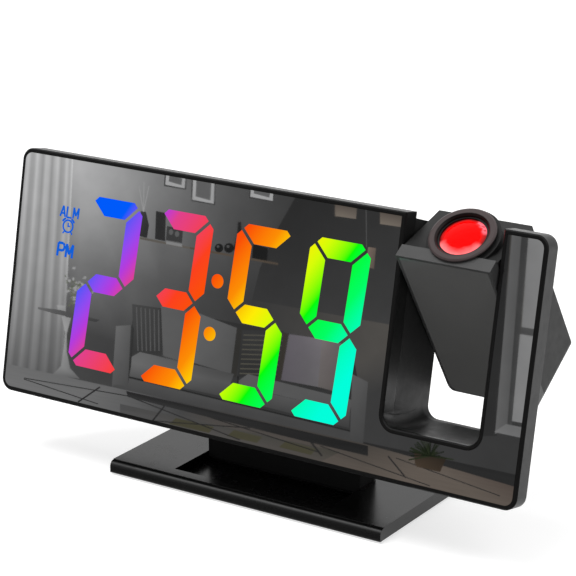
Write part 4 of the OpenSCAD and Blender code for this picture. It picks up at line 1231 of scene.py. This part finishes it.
    def shelf(self) -> None:
        """A shelf with small dark things, and a vase with twigs."""
        self.line((140, 238), (190, 248), 2.2, (92, 88, 82))
        self.line((190, 248), (278, 264), 2.0, (84, 74, 64))
        self.patch([(156, 211), (166, 213), (165, 241), (155, 239)], 46)
        self.patch([(167, 226), (183, 229), (182, 243), (166, 240)], 58)
        self.patch([(166, 241), (182, 244), (182, 247), (166, 244)], 128)
        for x, z in ((171, 232), (177, 234)):
            self.blob((x, z), 2.2, 3.0, 90)
        for x, radius in ((219, 4.4), (229, 5.0)):
            self.blob((x, 248), radius, radius, 30)
            self.blob((x - 1, 246.5), 0.3 * radius, 0.3 * radius, 78)
        self.patch([(238, 222), (241, 222), (242, 236), (245, 252), (233, 250), (237, 236)], 34)
        self.patch([(253, 244), (268, 248), (267, 261), (252, 258)], 30)
        self.patch([(141, 211), (146, 212), (149, 225), (147, 238), (139, 236), (138, 222)],
                   [64, 54, 46, 44, 50, 58])
        for tip in ((139, 186), (144, 182), (149, 186)):
            self.line((143.5, 212), tip, 0.7, 150)

    def lamp(self) -> None:
        """A hanging lamp with two small frames beside it."""
        self.line((366, 200), (366.5, 247), 0.7, 84)
        self.patch([(368, 247), (376, 248), (374, 269), (366, 267)],
                   [(118, 104, 94), (96, 86, 78), (84, 76, 70), (112, 98, 88)])
        for x, z in ((335, 204), (380, 212)):
            self.patch([(x, z), (x + 22, z + 3), (x + 21, z + 15), (x, z + 12)],
                       [(88, 80, 74), (80, 74, 68), (110, 102, 94), (116, 108, 98)])

    def table(self) -> None:
        """A round side table on one flared leg, with a bowl and flowers."""
        dice = random.Random(5)
        flowers = (158, 140, (96, 100, 84), (84, 92, 74))
        for _ in range(110):
            place = dice.gauss(77, 6.5), dice.gauss(290, 8)
            wide, high = dice.uniform(0.7, 1.8), dice.uniform(0.7, 1.7)
            self.blob(place, wide, high, dice.choice(flowers), 6)
        self.patch([(57, 305), (66, 306), (64, 312), (58, 311)], [164, 150, 132, 142])
        self.patch([(38, 307), (60, 310), (100, 320), (96, 322), (56, 314), (38, 309)],
                   [104, 84, 66, 60, 76, 96])
        self.patch([(61.5, 316), (71, 318), (66.8, 334), (66.8, 352), (70, 368), (80, 379), (52, 375),
                    (61, 366), (63.5, 350), (65, 332)], [150, 138, 140, 136, 122, 96, 104, 136, 150, 156])

    def sofa_back(self) -> None:
        """The sofa's back with plain and striped cushions."""
        self.patch([(116, 326), (132, 325), (134, 306), (160, 308), (352, 346), (357, 376), (357, 440),
                    (112, 388)], [58, 56, 56, 50, 44, 46, 52, 60])
        self.patch([(132, 304), (160, 308), (161, 352), (134, 353)], [70, 62, 54, 56])
        for k in range(6):
            self.line((136.5 + 4.4 * k, 307 + 0.6 * k), (138 + 4.2 * k, 351), 1.1, 88)
        self.patch([(161, 306), (194, 312), (190, 364), (163, 356)], [92, 84, 84, 90])
        self.patch([(198, 313), (237, 328), (231, 374), (191, 362)], [98, 84, 80, 94])
        self.line((239.5, 329), (233.5, 377), 5.5, (50, 49, 47))
        self.patch([(242, 330), (284, 331), (277, 378), (238, 377)], [54, 52, 46, 48])
        for k in range(9):
            self.line((243.5 - 0.5 * k, 335 + 4.8 * k), (283 - 0.8 * k, 336 + 4.8 * k), 1.2, (80, 78, 70))
        self.line((286, 333), (279, 380), 5.0, (54, 51, 46))
        self.patch([(289, 334), (322, 339), (318, 387), (281, 380)],
                   [(98, 94, 100), (112, 108, 112), (98, 96, 98), (88, 84, 90)])
        self.patch([(322, 339), (352, 346), (345, 394), (318, 387)],
                   [(114, 108, 108), (92, 86, 86), (82, 76, 74), (96, 92, 90)])

    def sofa_seat(self) -> None:
        """The sofa's two seat cushions, its front and its arms."""
        self.patch([(126, 360), (140, 352), (234, 374), (230, 385), (127, 364)], [104, 98, 70, 84, 106])
        self.patch([(124, 362), (130, 362), (234, 384), (234, 399), (128, 376)], [102, 104, 82, 64, 82])
        self.patch([(238, 381), (248, 374), (352, 400), (350, 412), (240, 386)], [82, 88, 84, 82, 88])
        self.patch([(238, 386), (350, 412), (349, 428), (238, 400)], [86, 78, 62, 70])
        self.patch([(112, 384), (128, 378), (350, 432), (363, 432), (363, 446), (112, 388)],
                   [84, 80, 68, 76, 68, 70])
        self.line((129, 377), (350, 431), 1.1, 34)
        self.line((238, 376), (238, 402), 1.4, 34)
        self.patch([(116, 326), (131, 325), (128, 386), (112, 384)], [104, 92, 72, 84])
        self.patch([(131, 325), (134, 328), (131, 366), (128, 384)], [60, 50, 44, 48])
        self.patch([(352, 374), (368, 382), (363, 445), (350, 438)], [90, 80, 66, 70])

    def window(self) -> None:
        """The window at the right end, with its frame, cross bar and sill."""
        self.patch([(500, 150), (516, 150), (497, 436), (476, 436)], [36, 38, 46, 44])
        self.patch([(519, 150), (529, 150), (508, 428), (495, 434)], [90, 86, 84, 96])
        self.patch([(528, 150), (536, 150), (512, 426), (507, 428)], [54, 58, 66, 60])
        self.patch([(535, 150), (572, 150), (556, 340), (521, 334)], [124, 134, 128, 118])
        self.patch([(520, 334), (556, 340), (548, 428), (512, 421)], [124, 134, 130, 124])
        self.patch([(521.5, 327), (560, 333), (559, 340), (520, 334)], [72, 84, 80, 66])
        self.patch([(506, 424), (545, 432), (545, 443), (494, 432)], [104, 112, 104, 112])

    def floor(self) -> None:
        """The floor with its rug, the rug's lines and the sofa's shadow."""
        plank, far_plank, weave = (95, 87, 80), (68, 64, 60), (68, 66, 52)
        self.on_floor([(-60, 349), (112, 387), (180, 402), (180, 480), (-60, 440)], [112, 100, 62, 82, 118])
        self.on_floor([(180, 402), (365, 444), (365, 510), (180, 480)], [62, far_plank, plank, 82])
        self.on_floor([(365, 444), (430, 462), (560, 500), (560, 560), (365, 510)],
                      [far_plank, plank, (70, 60, 56), plank, plank])
        self.on_floor([(120, 404), (340, 452), (320, 462), (120, 424)], [74, (66, 64, 58), (78, 74, 70), 86])
        for x0, z0, x1, z1 in ((176, 418, 214, 427), (234, 430, 262, 437), (286, 441, 316, 449)):
            self.on_floor([(x0, z0), (x1, z1), (x1 - 5, z1 + 6), (x0 - 7, z0 + 6)], weave)
        for start, end, width in (((24, 378), (128, 396), 0.9), ((24, 379), (98, 404), 0.9),
                                  ((100, 387), (78, 402), 1.6), ((128, 396), (240, 440), 1.0),
                                  ((140, 420), (250, 428), 1.0), ((166, 404), (150, 424), 1.6),
                                  ((200, 414), (318, 452), 1.0), ((310, 441), (322, 456), 1.8),
                                  ((320, 446), (430, 486), 0.9), ((388, 456), (406, 478), 1.4),
                                  ((396, 458), (500, 496), 0.9)):
            self.line(start, end, width, 40, flat=True)
        self.on_floor([(126, 391), (368, 446), (368, 456), (300, 440), (236, 424), (128, 397)],
                      [36, 34, 40, 38, 40, 50])

    def plant(self) -> None:
        """A plant in a pot, nearer than the rest."""
        self.patch([(414, 452), (446, 459), (440, 472), (432, 475), (420, 472), (415, 464)],
                   [(48, 40, 34), (44, 38, 32), (60, 50, 42), (64, 54, 44), (72, 60, 50), (66, 56, 46)],
                   near=self.plant_near)
        dice = random.Random(11)
        leaves = ((30, 36, 24), (22, 28, 18), (40, 46, 32))
        for _ in range(44):
            turn, reach = dice.uniform(math.pi * 0.95, math.tau * 1.02), dice.uniform(6, 24)
            tip = (430 + reach * math.cos(turn), 455 + 0.8 * reach * math.sin(turn) + 0.1 * reach)
            width = dice.uniform(0.6, 1.5)
            self.line((430, 456), tip, width, dice.choice(leaves), near=self.plant_near)

    def shell(self) -> None:
        """A dim floor below the cut-outs and a dim wall past them, all round the front half.

        The wall is turned by swing, so that the clock's right side keeps its light.
        """
        height = Vector((0, 0, self.shell_top))
        foot = Vector((0, self.edge_y, self.lift - HAIR))
        rings = ((HAIR, 62), (0.35, 60), (0.6, 40), (self.shell_r, self.shell_tone))

        def way(turn: float) -> Vector:
            """Level way that turns from the left end through the front to the right."""
            return Vector((-math.cos(turn), -math.sin(turn), 0))
        steps = [math.pi * k / self.shell_count for k in range(self.shell_count + 1)]
        for turns in zip(steps, steps[1:]):
            left, right = (self.shell_r * way(turn - self.swing) for turn in turns)
            self.patches.append(([left, right, right + height, left + height],
                                 [self.light(self.shell_tone)] * 4))
            one, two = (way(turn) for turn in turns)
            for (near, near_tone), (reach, far_tone) in zip(rings, rings[1:]):
                spots = [foot + one * near, foot + two * near, foot + two * reach, foot + one * reach]
                self.patches.append((spots, [self.light(near_tone)] * 2 + [self.light(far_tone)] * 2))

    def build(self) -> None:
        """Makes the room as one mesh that only glossy rays meet."""
        for make in (self.wall, self.curtain, self.blank_frames, self.shelf, self.lamp, self.table,
                     self.sofa_back, self.sofa_seat, self.window, self.floor, self.plant, self.shell):
            make()
        made = mesh_object("dim_room", self.fill, Matrix.Identity(4), RoomPaint().material())
        for sight in ("camera", "diffuse", "shadow", "transmission", "volume_scatter"):
            setattr(made, "visible_" + sight, False)
        LOG.info("dim room has %d cut-outs", len(self.patches))

    def fill(self, bm: BMesh) -> None:
        """Adds all cut-outs with their shades."""
        layer = bm.verts.layers.float_color.new("shade")
        for corners, shades in self.patches:
            verts = [bm.verts.new(corner) for corner in corners]
            for vert, shade in zip(verts, shades):
                vert[layer] = (*shade, 1)
            bm.faces.new(verts)


# ---------------------------------------------------------------- studio


@dataclass
class Studio:
    """Camera, lamps, floor and the dim room that the mirror sees."""

    eye: Place = (0.370909, -0.563888, 0.280137)
    tilt: float = math.radians(90 - 17.74)
    turn: float = math.radians(33.28)
    roll: float = math.radians(-0.13)
    soft_light: float = 0.5
    floor_r: float = 6.0
    aim: Place = (0, 0, 0.04)
    lamp_size: float = 0.9
    lamps: tuple[tuple[str, Place, float], ...] = (
        ("key_lamp", (-0.3, -0.4, 1.5), 18.0),
        ("fill_lamp", (1.1, -0.4, 0.8), 1.5),
        ("back_lamp", (0.3, 1.0, 1.1), 7.0))

    def camera(self) -> bpy.types.Object:
        """Makes the camera at the clock's front right."""
        data = bpy.data.cameras.new("studio_camera")
        data.lens, data.sensor_width = LENS, SENSOR
        data.clip_start, data.clip_end = 0.01, 20.0
        made = bpy.data.objects.new("studio_camera", data)
        turns = ((self.turn, "Z"), (self.tilt, "X"), (self.roll, "Z"))
        turn, tilt, roll = (Matrix.Rotation(angle, 4, axis) for angle, axis in turns)
        made.matrix_world = Matrix.Translation(self.eye) @ (turn @ tilt @ roll)
        bpy.context.scene.collection.objects.link(made)
        bpy.context.scene.camera = made
        return made

    def world(self) -> None:
        """White surroundings for what is seen, softer light on matt surfaces."""
        world = bpy.data.worlds.new("studio_world")
        bpy.context.scene.world = world
        graph = Graph(world, "OutputWorld")
        white = (1, 1, 1, 1)
        light = graph.add("Background", Color=white, Strength=self.soft_light)
        bright = graph.add("Background", Color=white)
        mix = graph.add("MixShader")
        for source, target in zip((graph.seen(), light.outputs[0], bright.outputs[0]), mix.inputs):
            graph.link(source, target)
        graph.link(mix.outputs[0], graph.output.inputs["Surface"])

    def lamp(self, name: str, place: Place, power: float) -> None:
        """Adds a soft square lamp that hangs at place and faces the clock, its power in watts."""
        data = bpy.data.lights.new(name, "AREA")
        data.size, data.energy = self.lamp_size, power
        made = bpy.data.objects.new(name, data)
        made.location = place
        made.rotation_euler = (Vector(self.aim) - Vector(place)).to_track_quat("-Z", "Y").to_euler()
        made.visible_glossy = False
        bpy.context.scene.collection.objects.link(made)

    def floor(self) -> None:
        """Lays the white floor."""
        def plane(bm: BMesh) -> None:
            """A large round plane."""
            bm.faces.new([bm.verts.new((*spot, 0)) for spot in disc((0, 0), self.floor_r, 64)])
        below = Matrix.Translation((0, 0, -HAIR))
        made = mesh_object("studio_floor", plane, below, StageFloor().material())

    def mirrored(self, camera: bpy.types.Object) -> Matrix:
        """The camera's frame as the mirror panel shows it."""
        panel = FRAMES.clock()
        return panel @ Matrix.Diagonal((1, -1, 1, 1)) @ panel.inverted() @ camera.matrix_world

    def build(self) -> None:
        """Sets up the whole studio."""
        DimRoom(self.mirrored(self.camera())).build()
        self.world()
        for lamp in self.lamps:
            self.lamp(*lamp)
        self.floor()
        bpy.context.scene.view_settings.view_transform = "Standard"
        LOG.info("studio ready")


def main() -> None:
    """Builds the studio, dresses the frame and adds the display's light and the key signs."""
    logging.basicConfig(level=logging.INFO, format="%(name)s: %(message)s")
    Studio().build()
    Wardrobe().build()
    LitDisplay().build()
    KeySigns().build()


if __name__ == "__main__":
    main()
